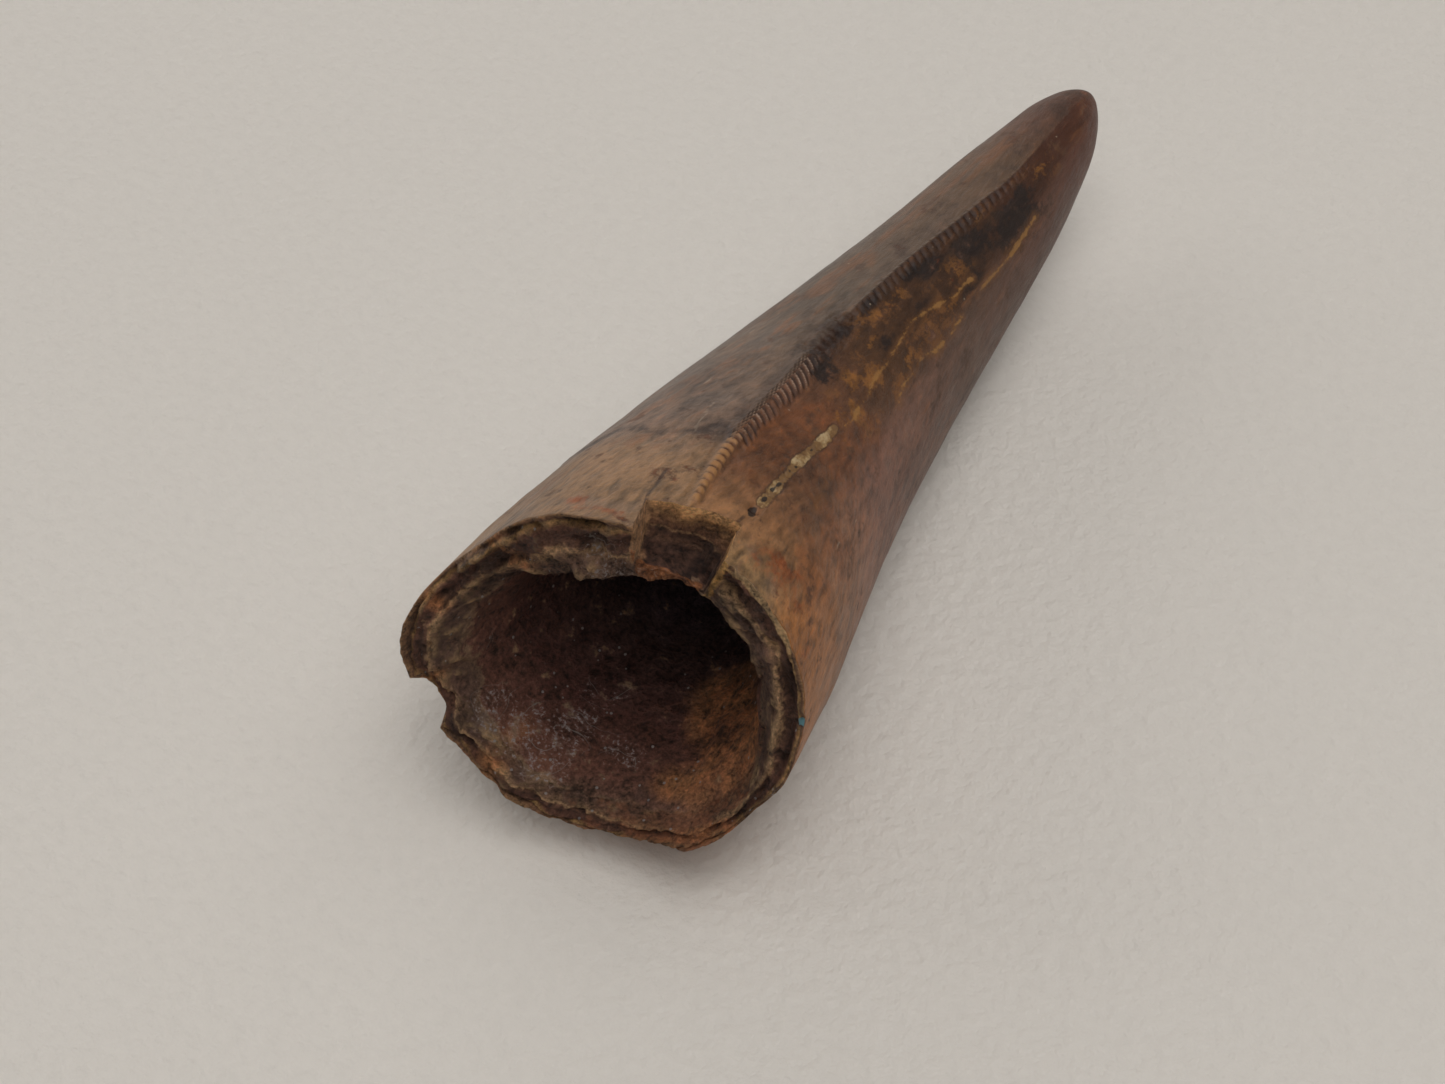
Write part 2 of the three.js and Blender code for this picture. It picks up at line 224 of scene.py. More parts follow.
@lru_cache(maxsize=None)
def section(y):
    """The section's middle and its unit vectors to the right, up and along the tooth."""
    t = y / LENGTH
    s = clamped(t)
    a, b, c, d = MIDDLE_LINE
    middle = a * (1 - s) ** 3 + b * 3 * s * (1 - s) ** 2 + c * 3 * s * s * (1 - s) + d * s ** 3
    along = ((b - a) * (1 - s) ** 2 + (c - b) * 2 * s * (1 - s) + (d - c) * s * s).normalized()
    middle = middle + along * (t - s) * LENGTH
    right = Vector((along.y, -along.x, 0)).normalized()
    return middle, right, right.cross(along), along


def height_ratio(y):
    """How much taller than wide a section is."""
    return HEIGHT_RATIO[0] + (HEIGHT_RATIO[1] - HEIGHT_RATIO[0]) * clamped(y / LENGTH)


def reach(y, angle):
    """How far the smooth surface lies from the section's middle, to the right and up."""
    c, s = on_circle(angle, 1)
    square = (abs(c) ** SECTION_POWER + abs(s) ** SECTION_POWER) ** (-1 / SECTION_POWER)
    fade = ease(1, 0, y / SHOULDER_FADE)
    full = 1.0
    if fade > 0:
        for centre, spread, amount in SHOULDERS:
            full += fade * amount * hill(wrapped(angle - centre), 0, spread)
    radius = half_width(y) * square * full
    return radius * c, radius * s * height_ratio(y)


def lay_down(point):
    """From the upright crown's own frame to the tooth lying on its worn flat, in metres."""
    return (Matrix.Rotation(LIE, 3, "X") @ point + ORIGIN_SHIFT) * MM


def stand_up(point):
    return Matrix.Rotation(-LIE, 3, "X") @ (point / MM - ORIGIN_SHIFT)


def on_section(y, angle, radius_of):
    """A point at the distance radius_of(reach) from the section's middle."""
    middle, right, up, _ = section(y)
    r, u = reach(y, angle)
    length = math.hypot(r, u)
    if length < 1e-6:
        return middle.copy()
    k = radius_of(length) / length
    return middle + right * (r * k) + up * (u * k)


def rough(x, y, z, octaves=3):
    """Uneven ground between about -1 and 1, the same on every run."""
    return noise.fractal(Vector((x, y, z)), 0.9, 2.1, octaves)


def swing(x, y, z):
    """A gentle rise and fall between -1 and 1, the same on every run."""
    return noise.noise(Vector((x, y, z)))


def stepped(x, step):
    """Turns even ground into flat ledges with steep edges, as splintered layers break."""
    low = math.floor(x / step)
    return (low + ease(0.3, 0.7, x / step - low)) * step


def rim_edge(angle):
    """Where the broken outer edge lies along the crown, with its small splinters."""
    x, z = on_circle(angle, BASE_RADIUS)
    splinters = 0.22 * stepped(rough(x * 0.75, z * 0.75, 3.7), 0.35) + 0.06 * rough(x * 3, z * 3, 8)
    return straight(RIM_AROUND, wrapped(angle)) + splinters


# ---- Relief of the outside ---------------------------------------------------------------

def tooth_wave(y, pitch, start, sharp=2.6):
    """1 in the middle of each tooth of the edge and 0 in the cleft between two."""
    share = ((y - start) / pitch) % 1.0
    return 1 - abs(2 * share - 1) ** sharp


def back_edge_teeth(y, across):
    """The serrated edge: its rise in mm, and its painted light on the crests (up to 1) and painted shade
    in the clefts (down to -1).

    By the base it is a row of round beads. Then come slanting ridges, a worn gap, and blocks."""
    if not EDGE_START < y < EDGE_END or abs(across) > EDGE_REACH:
        return 0.0, 0.0
    left, right = max(0.0, across), max(0.0, -across)
    rise = smooth(KEEL, y) * math.exp(-math.sqrt(across * across + 0.03) / 0.8)
    crest = 0.0
    beads, ridges, gap, blocks = (shows(y, *part) for part in (BEADS, RIDGES, WORN_GAP, BLOCKS))
    if beads > 0:
        width = BEAD_HALF_WIDTH + 0.022 * (y - SERRATION_START)
        wave = tooth_wave(y + 0.3 * right, PITCH, SERRATION_START)
        dome = math.sqrt(max(0.0, 1 - (across / width) ** 2))
        rise += beads * (0.2 * dome * (0.4 + 0.6 * wave)
                         - 0.04 * hill(abs(across), width + 0.16, 0.14))
        crest += beads * (dome ** 0.6 * (1.5 * wave - 0.5) if dome > 0
                          else -0.25 * hill(abs(across), width + 0.12, 0.12))
    if ridges > 0:
        slant = y + 0.5 * right + 0.5 * right * right + 3.5 * min(left, 0.6)
        wave = tooth_wave(slant, PITCH, SERRATION_START, 1)
        length = 0.95 + 0.25 * swing(y * 1.3, 2.5, 0)
        reach_out = ease(length, length - 0.5, right) * ease(0.5, 0.22, left)
        rise += ridges * reach_out * (0.28 * wave ** 1.7 - 0.02)
        # How strongly this ridge's crest is painted light and its cleft painted with shade.
        crest_contrast = (1 + 0.9 * swing(y * 1.1, across * 0.8, 7.1)) * (1 - 0.3 * ease(0.3, 1.0, right))
        crest += ridges * reach_out * (2.5 * wave - 1.6) * crest_contrast
    if gap > 0:
        chips = rough(y * 1.6, across * 1.6, 5.5)
        worn = hill(across, 0, 0.9)
        rise += gap * worn * (-0.1 + 0.2 * stepped(chips, 0.3))
        crest -= gap * worn * 0.5
    if blocks > 0:
        wave = tooth_wave(y + 0.45 * right, PITCH, SERRATION_START, 3.0)
        reach_out = ease(0.75, 0.3, right) * ease(0.24, 0.06, left)
        rise += blocks * reach_out * (0.2 * wave - 0.05)
        crest += blocks * reach_out * (0.75 * wave - 0.85)
    return rise, crest


def front_edge_relief(y, across):
    if y < FRONT_START - 1 or abs(across) > FRONT_BAND:
        return 0.0
    strength = shows(y, FRONT_START - 0.5, FRONT_START + 3, 47, 51)
    wave = tooth_wave(y, FRONT_PITCH, FRONT_START, 2.4)
    return strength * hill(across, 0, 0.4) * (0.16 + 0.14 * wave)


def crack_relief(y, angle, radius):
    """An open crack, filled with cement that stops short at its lower end."""
    offset = math.radians(angle - smooth(CRACK, y)) * radius
    width = CRACK_HALF_WIDTH * (1 + 0.45 * swing(y * 1.1, 0.5, 3.0))
    inside = ease(width * 1.2, width * 0.75, abs(offset)) * shows(y, *CRACK_ENDS)
    if inside <= 0:
        return 0.0
    hollow = 0.02
    for place, depth, length in CRACK_HOLES:
        hollow += depth * hill(y, place, length)
    return -inside * (hollow + 0.12 * rough(y * 2.2, offset * 4, 1.3))


def enamel_edge(angle):
    return smooth(ENAMEL_LINE, angle) + 0.35 * rough(*on_circle(angle, 6), 2.2)


def crown_relief(y, angle, across_back, across_front):
    radius = half_width(y)
    x, z = on_circle(angle, radius)
    rise = 0.05 * rough(x * 0.35, y * 0.12, z * 0.35)
    rise += 0.018 * rough(x * 1.4, y * 0.35, z * 1.4)
    rise += back_edge_teeth(y, across_back)[0] + front_edge_relief(y, across_front)
    rise += crack_relief(y, angle, radius)
    edge = enamel_edge(angle)
    rise += 0.05 * ease(edge - 0.25, edge + 0.15, y)
    fibres = ease(9, 5.5, y)
    if fibres > 0:
        x, z = on_circle(angle, 18)
        rise += 0.03 * fibres * rough(x, y * 0.25, z)
    return rise * ease(LENGTH, LENGTH - 1.5, y)


# ---- The parameter sheet that becomes the tooth ------------------------------------------

def sheet_rows():
    """Each row's place on the way from the point, over the crown and the rim, to the cavity's
    end: 0 to 1 is the crown, 1 to 2 its collar at the rim, 2 to 3 the wall, 3 to 4 the cavity."""
    crown = TIP_ROWS + [SERRATION_START + i * PITCH / 2 for i in range(EDGE_TOP_ROWS, -1, -1)]
    rows = [(LENGTH - y) / (LENGTH - COLLAR) for y in crown]
    rows += [1 + (i + 1) / COLLAR_ROWS for i in range(COLLAR_ROWS)]
    rows += [2 + (i + 1) / WALL_ROWS for i in range(WALL_ROWS)]
    rows += [3 + ((i + 1) / CAVITY_ROWS) ** 1.45 for i in range(CAVITY_ROWS)]
    return rows


def sheet_columns():
    """Each column's place around the tooth: -1 to 1 is the band along the back edge, beyond it
    the two sides, and beyond 2 the half bands that meet at the front edge."""
    low, high = BAND[0], BAND[-1]
    band = [-1 + 2 * (x - low) / (high - low) for x in BAND]
    side = [i / SIDE_COLUMNS for i in range(1, SIDE_COLUMNS + 1)]
    front = [i / FRONT_COLUMNS for i in range(1, FRONT_COLUMNS + 1)]
    left = [1 + s for s in side] + [2 + s for s in front]
    return [-x for x in reversed(left)] + band + left


def around_tooth(y, q):
    """Angle, and distances in mm to the left of the back edge and of the front edge."""
    back, front = smooth(BACK_EDGE, y), smooth(FRONT_EDGE, y)
    radius = max(half_width(y), SAME_POINT)
    shrink = min(1.0, 0.9 * radius / abs(BAND[0]))
    low, high = BAND[0] * shrink, BAND[-1] * shrink
    if -1 <= q <= 1:
        across = low + (high - low) * (q + 1) / 2
        return back + math.degrees(across / radius), across, AWAY
    side, edge, seam = (1, high, front + 360) if q > 1 else (-1, low, front)
    start = back + math.degrees(edge / radius)
    front_half = side * math.degrees(FRONT_BAND * shrink / radius)
    end = seam - front_half
    part = abs(q)
    angle = start + (end - start) * (part - 1) if part < 2 else end + front_half * (part - 2)
    return angle, AWAY, (angle - seam) * math.radians(radius)


def ledge(angle, share):
    """How far along the tooth the broken wall lies, without its splits and splinters."""
    thickness = wall_thickness(round(angle, 2))
    rounding = straight(LIP_AROUND, wrapped(angle))
    edge = straight(RIM_AROUND, wrapped(angle))
    settle = ease(0, 0.12, share)
    slope = 0.35 - 0.2 * thicker_lip(angle)
    return (edge * (1 - 0.4 * settle) + slope * thickness * share ** 1.4
            + rounding * ease(0.3, 1.0, share) ** 2)


def layer(angle, share):
    """Which layer of the wall a place is in: 0 outside, 0.5 in the middle split, 1 at the lip."""
    at = straight(MIDDLE_SPLIT_AT, wrapped(angle))
    return 0.5 * share / at if share < at else 0.5 + 0.5 * (share - at) / (1 - at)


def wall_level(angle, share):
    """How far along the tooth the broken wall lies, from its outer edge (0) to its lip (1)."""
    x, z = on_circle(angle, BASE_RADIUS)
    turn = wrapped(angle)
    shift = (0.16 * swing(x * 0.3, z * 0.3, 1.5) + 0.06 * swing(x * 1.1, z * 1.1, 7.5)) * math.sin(
        math.pi * share)
    at = layer(angle, clamped(share + shift))
    outer = straight(OUTER_SPLIT_AROUND, turn) * (0.7 + 1.8 * swing(x * 0.6, z * 0.6, 6.1))
    middle = straight(MIDDLE_SPLIT_AROUND, turn) * (0.6 + 1.7 * swing(x * 0.5, z * 0.5, 9.4))
    split = max(0.0, outer) * shows(at, 0.05, 0.09, 0.15, 0.2)
    split += max(0.0, middle) * shows(at, 0.27, 0.34, 0.6, 0.68)
    settle = ease(0, 0.15, share)
    layers = 0.42 * stepped(rough(x * 0.5, z * 0.5, share * 2.4 + 2.2, 4), 0.26)
    layers += 0.2 * stepped(rough(x * 1.2, z * 1.2, share * 4.0 + 7.2, 3), 0.4)
    grain = 0.07 * rough(x * 1.7, z * 1.7, share * 7)
    splinters = rim_edge(angle) - straight(RIM_AROUND, turn)
    return ledge(angle, share) + split + splinters * (1 - settle) + settle * (layers + grain)


def wall_point(angle, share):
    return on_section(wall_level(angle, share), angle,
                      lambda r: r - share * wall_thickness(round(angle, 3)))


def cavity_point(angle, t):
    """The pulp cavity's wall, from the lip (0) to its blind end (1)."""
    lip = wall_point(angle, 1.0)
    y_lip = ledge(angle, 1.0)
    y = y_lip + (CAVITY_DEPTH - y_lip) * t
    mouth = math.hypot(*reach(0, angle)) - wall_thickness(round(angle, 3))
    size = mouth * max(0.0, 1 - y / CAVITY_DEPTH) ** CAVITY_POWER
    size += 0.35 * straight(LIP_AROUND, wrapped(angle)) * math.exp(-(y - y_lip) / 1.3)
    x, z = on_circle(angle, size)
    lumps = 0.3 * rough(x * 0.4, y * 0.3, z * 0.4 + 4)
    lumps += 0.16 * stepped(rough(x * 0.55, y * 0.4, z * 0.55 + 9), 0.3)
    lumps += 0.06 * rough(x * 2.2, y * 1.8, z * 2.2)
    lumps *= min(1.0, size / 2)
    point = on_section(y, angle, lambda r: size + lumps)
    return lip.lerp(point, ease(0, LIP_BLEND, t)) if t < LIP_BLEND else point


def tooth_point(p, q):
    y = LENGTH - (LENGTH - COLLAR) * min(p, 1.0)
    angle, across_back, across_front = around_tooth(max(y, COLLAR), q)
    if p <= 2:
        if p > 1:
            y = COLLAR + (rim_edge(angle) - COLLAR) * (p - 1)
            angle, across_back, across_front = around_tooth(COLLAR, q)
        rise = crown_relief(y, angle, across_back, across_front)
        if p > 1:
            rise *= ease(2.0, 1.85, p)
        return on_section(y, angle, lambda r: r + rise)
    if p <= 3:
        return wall_point(angle, p - 2)
    return cavity_point(angle, p - 3)


def between(values, position):
    i = min(int(position), len(values) - 2)
    return values[i] + (values[i + 1] - values[i]) * (position - i)


OUTSIDE, INSIDE = 0, 1


def make_sheet():
    """A flat grid, one unit a row and a column, cut finer where the tooth needs it."""
    rows, columns = sheet_rows(), sheet_columns()
    nx, ny = len(columns) - 1, len(rows) - 1
    bm = bmesh.new()
    bmesh.ops.create_grid(bm, x_segments=nx, y_segments=ny, size=0.5)
    corner_at_zero = Matrix.Diagonal((nx, ny, 1, 1)) @ Matrix.Translation((0.5, 0.5, 0))
    bmesh.ops.transform(bm, matrix=corner_at_zero, verts=bm.verts)
    crown_end = len(TIP_ROWS) + EDGE_TOP_ROWS
    first = next(i for i, q in enumerate(columns) if q >= -1)
    last = first + len(BAND) - 1
    along = [e for e in bm.edges if abs(e.verts[0].co.x - e.verts[1].co.x) < 0.5
             and first < e.verts[0].co.x < last - 0.5
             and max(v.co.y for v in e.verts) < crown_end + 0.5]
    bmesh.ops.subdivide_edges(bm, edges=along, cuts=2, use_grid_fill=True)
    fine_start, fine_end = crown_end + FINE_MARGIN, crown_end + COLLAR_ROWS + WALL_ROWS + FINE_MARGIN
    across = [e for e in bm.edges if abs(e.verts[0].co.y - e.verts[1].co.y) < 0.01
              and fine_start < e.verts[0].co.y < fine_end]
    bmesh.ops.subdivide_edges(bm, edges=across, cuts=1, use_grid_fill=True)
    many = [f for f in bm.faces if len(f.verts) > 4]
    bmesh.ops.triangulate(bm, faces=many)
    for face in bm.faces:
        middle = between(rows, face.calc_center_median().y)
        face.material_index = OUTSIDE if middle < 2 else INSIDE
    for v in bm.verts:
        v.co = tooth_point(between(rows, v.co.y), between(columns, v.co.x))
    bmesh.ops.remove_doubles(bm, verts=bm.verts, dist=SAME_POINT)
    bmesh.ops.recalc_face_normals(bm, faces=bm.faces)
    return bm


@lru_cache(maxsize=None)
def notch_frame():
    """The notch's own frame: the middle of its floor, and the ways right, along and outward."""
    _, right, up, along = section(0.0)
    r, u = reach(0, NOTCH_ANGLE)
    out = (right * r + up * u).normalized()
    base = on_section(0.0, NOTCH_ANGLE, lambda length: length - NOTCH_DEPTH)
    return base, along.cross(out).normalized(), along, out


def left_lean(z):
    """How far the notch's left side leans in at a height over the floor, in mm."""
    return 0.95 * max(0.0, 1 - z / 2.0)


def notch_cutter():
    """The chip that broke out of the outer wall, as a rough block in the crown's own frame."""
    base, side, along, out = notch_frame()
    bm = bmesh.new()
    bm.faces.new([bm.verts.new((x, y, 0)) for x, y in NOTCH_OUTLINE])
    grown = bmesh.ops.extrude_face_region(bm, geom=bm.faces[:])
    top = [v for v in grown["geom"] if isinstance(v, bmesh.types.BMVert)]
    bmesh.ops.translate(bm, verts=top, vec=(0, 0, NOTCH_HEIGHT))
    bmesh.ops.triangulate(bm, faces=bm.faces)
    for _ in range(2):
        long = [e for e in bm.edges if e.calc_length() > 0.3]
        bmesh.ops.subdivide_edges(bm, edges=long, cuts=2, use_grid_fill=True)
        bmesh.ops.triangulate(bm, faces=bm.faces)
    bmesh.ops.recalc_face_normals(bm, faces=bm.faces)
    bm.normal_update()
    for v in bm.verts:
        x, y, z = v.co
        step = 0.1 * stepped(rough(x * 1.1, y * 1.1, z * 0.7), 0.4) + 0.04 * rough(x * 4, y * 4, z * 1.2)
        v.co += v.normal * step * (ease(-2.0, -1.2, x) * 0.8 + 0.2)
        if y > 1.5:  # a low step at the foot of the back, towards the right
            foot = ease(0.75, 0.5, z + 0.5 * swing(x * 0.8, 1.0, 4.0))
            v.co.y -= 0.4 * ease(-0.6, 1.6, x) * foot
        v.co.x += left_lean(z) * ease(0.9, -2.3, x)
        if z < 0.5:  # the floor: high by the rim at the right, low at the left and the back
            v.co.z += 0.3 * ease(0.9, 0.2, y) * ease(-0.6, 0.4, x)
            v.co.z -= 0.5 * ease(0.4, -1.6, x) + 0.45 * ease(0.6, 1.5, y) * ease(-1.6, 1.0, x)
    axes = Matrix((side, along, out)).transposed().to_4x4()
    bmesh.ops.transform(bm, matrix=Matrix.Translation(base) @ axes, verts=bm.verts)
    bmesh.ops.recalc_face_normals(bm, faces=bm.faces)
    for face in bm.faces:
        face.material_index = INSIDE
    return bm


def to_object(bm, name, materials=()):
    mesh = bpy.data.meshes.new(name)
    bm.to_mesh(mesh)
    bm.free()
    for material in materials:
        mesh.materials.append(material)
    piece = bpy.data.objects.new(name, mesh)
    bpy.context.collection.objects.link(piece)
    return piece


# ---- Where each point of the finished surface lies ---------------------------------------

def locate(point):
    """y, angle, depth under the smooth outside and radius, of a point in the crown's own frame."""
    y = point.y
    for _ in range(4):
        y = round(y, 3)
        middle, right, up, along = section(y)
        y += (point - middle).dot(along) * 0.97
        y = min(LENGTH - 0.001, y)
    y = round(y, 2)
    middle, right, up, along = section(y)
    r, u = (point - middle).dot(right), (point - middle).dot(up)
    angle = math.degrees(math.atan2(u / height_ratio(y), r))
    radius = math.hypot(r, u)
    return y, angle, math.hypot(*reach(y, angle)) - radius, radius


# Stains, each with its place (y, angle), its length along and its width across in mm. The
# crack's holes are not stains but their painted shade.
OUTSIDE_SPOTS = {
    "dark_spot": [
        (36.2, 59, 2.2, 1.2), (39.8, 47, 2.2, 1.3), (41.8, 51, 1.4, 0.8), (30.9, 76, 1.2, 0.4),
        (23.0, 78, 1.2, 0.5), (20.6, 78, 1.3, 0.6), (19.2, 71, 1.2, 0.7), (27.0, 79, 1.4, 0.4),
        (29.0, 58, 1.6, 0.5), (32.5, 70, 1.6, 0.5), (25.0, 60, 1.4, 0.5), (33.5, 44, 1.6, 0.5)],
    "ochre_spot": [
        (24.9, 79, 0.9, 0.5), (22.4, 76, 0.9, 0.5), (24.1, 66, 1.0, 0.7), (28.8, 73, 1.4, 0.5),
        (33.3, 66, 1.3, 0.6), (32.0, 46, 1.2, 0.6), (29.2, 56, 1.2, 0.6), (25.2, 48, 1.0, 0.6),
        (22.0, 54, 1.2, 0.7), (19.0, 54, 1.6, 0.8), (16.6, 53, 1.2, 0.7), (37.5, 68, 1.6, 0.4),
        (20.4, 62, 0.9, 0.5), (35.2, 52, 1.4, 0.6), (38.6, 58, 1.4, 0.5), (44.0, 54, 1.6, 0.5),
        (33.8, 58, 1.0, 0.5), (26.3, 74, 0.7, 0.4)],
    "red_spot": [
        (2.5, 50, 1.2, 1.1), (2.7, 45, 1.1, 0.9), (2.4, 36, 0.8, 0.6), (3.6, 40, 0.7, 0.5),
        (1.6, 24, 1.0, 0.6), (0.3, 92, 0.4, 1.2), (1.0, 101, 0.5, 1.0)],
    "rust_spot": [
        (12.1, 68, 3.2, 1.4), (8.7, 66, 2.6, 1.0), (15.6, 62, 2.2, 1.1), (8.5, 34, 3.0, 2.2),
        (13.5, 46, 3.0, 1.6), (5.0, 36, 2.4, 2.4), (18.0, 44, 2.4, 1.4)],
    "left_orange": [
        (15.0, 108, 1.6, 1.1), (17.8, 103, 1.4, 0.8), (27.0, 110, 2.2, 0.9), (30.8, 109, 1.8, 0.9),
        (35.1, 111, 2.2, 0.8), (40.7, 104, 2.2, 0.8), (41.2, 136, 2.0, 0.8), (44.1, 98, 1.8, 0.7),
        (7.2, 101, 1.0, 1.4), (22.1, 99, 1.6, 0.8), (34.4, 138, 2.0, 0.8), (4.0, 128, 1.4, 1.8),
        (24.4, 126, 2.4, 1.0), (11.6, 116, 1.4, 1.0), (38.2, 122, 1.8, 0.8)],
    "grey_spot": [
        (19.2, 134, 3.0, 1.2), (26.2, 136, 3.0, 1.0), (32.8, 132, 3.0, 0.9), (12.9, 93, 1.6, 1.2),
        (20.6, 104, 2.4, 1.0), (12.1, 124, 2.0, 1.4), (39.1, 138, 2.4, 0.7), (10.5, 132, 1.6, 1.4),
        (16.0, 122, 2.0, 1.4), (0.8, 96, 0.7, 3.0), (1.5, 128, 1.0, 1.6), (2.3, 52, 0.7, 0.7),
        (1.4, 45, 0.8, 0.5)],
    # Holes in the crack's cement, painted near black as their shade.
    "crack_hole_shade": [
        (5.0, 59.0, 0.6, 0.25), (6.3, 58.6, 0.35, 0.14), (7.6, 58.3, 0.4, 0.13), (8.3, 57.8, 0.25, 0.1),
        (9.9, 57.8, 0.25, 0.1), (10.6, 57, 0.2, 0.1), (12.8, 56.3, 0.2, 0.08)],
}
THIN_LINES = {
    "gold_vein": [
        [(13.6, 56), (15.4, 54), (17.9, 51), (18.9, 52), (20.2, 52), (21.9, 54), (23.6, 54), (26.1, 56),
         (27.9, 58), (29.1, 56), (30.8, 52), (32.2, 48), (33.3, 48), (34.1, 46)],
        [(22.4, 39), (23.7, 42), (25.1, 42), (27.0, 42), (28.0, 38), (29.7, 36), (31.8, 37), (33.4, 38),
         (35.5, 36), (38.1, 33), (41.5, 34)],
        [(8.4, 45), (9.4, 46), (11.4, 46), (12.6, 47)]],
    "hair_crack": [
        [(0.8, 81), (1.9, 83), (2.8, 84), (3.8, 84), (4.9, 85)],
        [(2.1, 110), (3.4, 112), (4.7, 112)],
        [(0.4, 60), (1.8, 60), (3.4, 60.5), (4.2, 60)]],
    "scratch": [
        [(9.1, 88), (10.6, 90), (12.5, 92)],
        [(14.2, 104), (15.6, 103)],
        [(21.5, 118), (24.0, 116)],
        [(6.8, 34), (9.2, 33)],
        [(11.5, 30), (12.6, 31)]],
}
# On the broken wall and in the cavity, where the y of the wall itself is near 0.
INSIDE_SPOTS = {
    "pale_dust": [
        (2.3, -127, 1.7, 1.9), (1.6, -138, 1.1, 1.3), (2.6, -114, 1.4, 1.3), (4.3, -108, 1.1, 1.0),
        (1.2, -111, 1.0, 1.5), (6.2, -103, 0.7, 0.6), (5.9, -116, 0.7, 0.6), (3.6, -92, 1.0, 0.9),
        (3.4, -84, 0.8, 0.7), (0.8, 93, 0.9, 1.2), (0.9, 86, 0.8, 1.0), (3.0, -160, 0.8, 0.7)],
    "orange_patch": [
        (3.6, -34, 2.4, 2.6), (7.3, -58, 2.4, 1.8), (1.8, -48, 1.4, 2.0), (5.0, -48, 2.2, 2.0),
        (0.4, -158, 0.7, 0.7), (0.3, -124, 0.7, 0.8), (0.7, 131, 0.6, 0.9), (0.2, 170, 0.5, 0.7),
        (-0.2, -56, 0.4, 3.2), (5.2, -12, 1.6, 1.4), (2.4, -70, 1.0, 1.2)],
    "dark_green": [
        (0.9, 40, 1.2, 1.2), (1.2, 22, 1.2, 1.2), (1.4, 3, 1.6, 1.0), (1.1, -30, 0.8, 1.2),
        (1.5, -52, 0.8, 1.4), (1.9, -78, 0.8, 1.4), (0.8, -96, 0.7, 1.4), (0.4, -140, 0.8, 0.8),
        (1.0, 112, 0.9, 1.6), (1.0, 150, 0.9, 1.2), (0.3, -170, 0.6, 1.0), (2.2, -20, 1.0, 0.8)],
    "blue_speck": [(0.35, 4.5, 0.34, 0.26)],
}
LOW_EDGE = [(0.0, -62, 1.0, 4.5)]


def blot(y, angle, radius, spots):
    total = 0.0
    for at, turn, length, width in spots:
        dy = (y - at) / length
        if abs(dy) < 2.0:
            dx = math.radians(wrapped(angle - turn)) * radius / width
            if abs(dx) < 2.0:
                total += math.exp(-(dy * dy + dx * dx))
    return min(1.0, total)


def nearness(y, angle, radius, lines):
    """1 on the nearest of some lines that run along the crown, and 0 a millimetre away."""
    best = 9.0
    for line in lines:
        past = max(line[0][0] - y, y - line[-1][0], 0.0)
        at = straight(line, min(max(y, line[0][0]), line[-1][0]))
        best = min(best, math.hypot(math.radians(wrapped(angle - at)) * radius, past))
    return 1 - best


def outside_places(y, angle, radius):
    """What the finish of the crown's outside follows, at one point of it."""
    turn = (angle + 104) % 360 - 104
    across = math.radians(wrapped(angle - smooth(BACK_EDGE, y))) * radius
    right = ease(0.35, -0.15, across)
    left = 1 - right
    edge = enamel_edge(turn)
    places = {name: blot(y, angle, radius, spots) for name, spots in OUTSIDE_SPOTS.items()}
    places.update((name, nearness(y, angle, radius, lines)) for name, lines in THIN_LINES.items())
    for name, side in (("ochre_spot", right), ("rust_spot", right), ("left_orange", left)):
        places[name] *= side
    # Painted shade along the left side of the raised serrated edge, by its ridges and its blocks.
    beside_ridges = shows(y, 8, 9.5, 17, 21) * ease(1.6, 0.5, across)
    beside_blocks = 0.6 * ease(17, 22, y) * ease(3.2, 0.4, across)
    edge_width = 0.8 + 0.5 * hill(across, 0.9, 1.2)
    places.update({
        "along": y / LENGTH,
        "left_face": left,
        "lower_right": ease(52, 26, turn),
        "ochre_zone": right * ease(29, 43, turn) * shows(y, 13, 19, 44, 50),
        "crack_fill": nearness(y, angle, radius, [CRACK]) - 0.4 * ease(5.9, 5.4, y),
        "enamel_end": left * (1 - abs(y - edge + 0.2) / edge_width),
        "shade_beside_edge": left * (beside_ridges + beside_blocks),
        "bead_part": ease(11.5, 8.5, y),
        # Painted light on the serrated edge's crests and painted shade in its clefts.
        "serration_light_and_shade": back_edge_teeth(y, across)[1],
        "rim_near": ease(1.6, 0.2, y - rim_edge(angle)),
        "bare_dentine": left * ease(0.4, -0.5, y - edge),
    })
    return places


def notch_places(point, depth, share, over_ledge):
    """The same in the notch, at x to its right, b along the tooth and z over its floor."""
    base, side, along, out = notch_frame()
    offset = point - base
    x, b, z = offset.dot(side), offset.dot(along), offset.dot(out)
    past_left = x + 1.93 + 0.15 * b - left_lean(z)
    in_block = -0.9 < z and depth > -0.3 and past_left > -0.25 and x < 2.45 and -1.0 < b < 3.6
    open_notch = in_block and share < 1.0 and over_ledge > (0.2 if z < 0.3 else -0.6)
    return {
        "notch_part": float(open_notch),
        "notch_height": z / NOTCH_DEPTH,
        "notch_left": (ease(-0.3, -0.1, past_left + 0.25 * max(0.0, 1 - z / 2.0))
                       * ease(0.35, 0.05, past_left) * ease(-0.7, -0.3, z) * ease(2.2, 1.6, b)),
        "notch_lip": (ease(1.2, 0.8, b - 0.5 * max(0.0, x)) * shows(z, -1.5, -1.1, 0.3, 0.6)
                      * ease(-0.5, -0.2, past_left) * ease(2.2, 1.8, x)),
        "notch_right": (1 - abs(x - 2.4) / 0.4) * ease(-0.9, -0.3, z) * ease(2.6, 1.8, b),
        # Painted shadow in the gap at the right of the notch's floor, under its low step.
        "notch_gap_shadow": open_notch * ease(0.85, 0.6, z) * ease(0.5, 1.2, x) * ease(0.4, 1.0, b),
    }


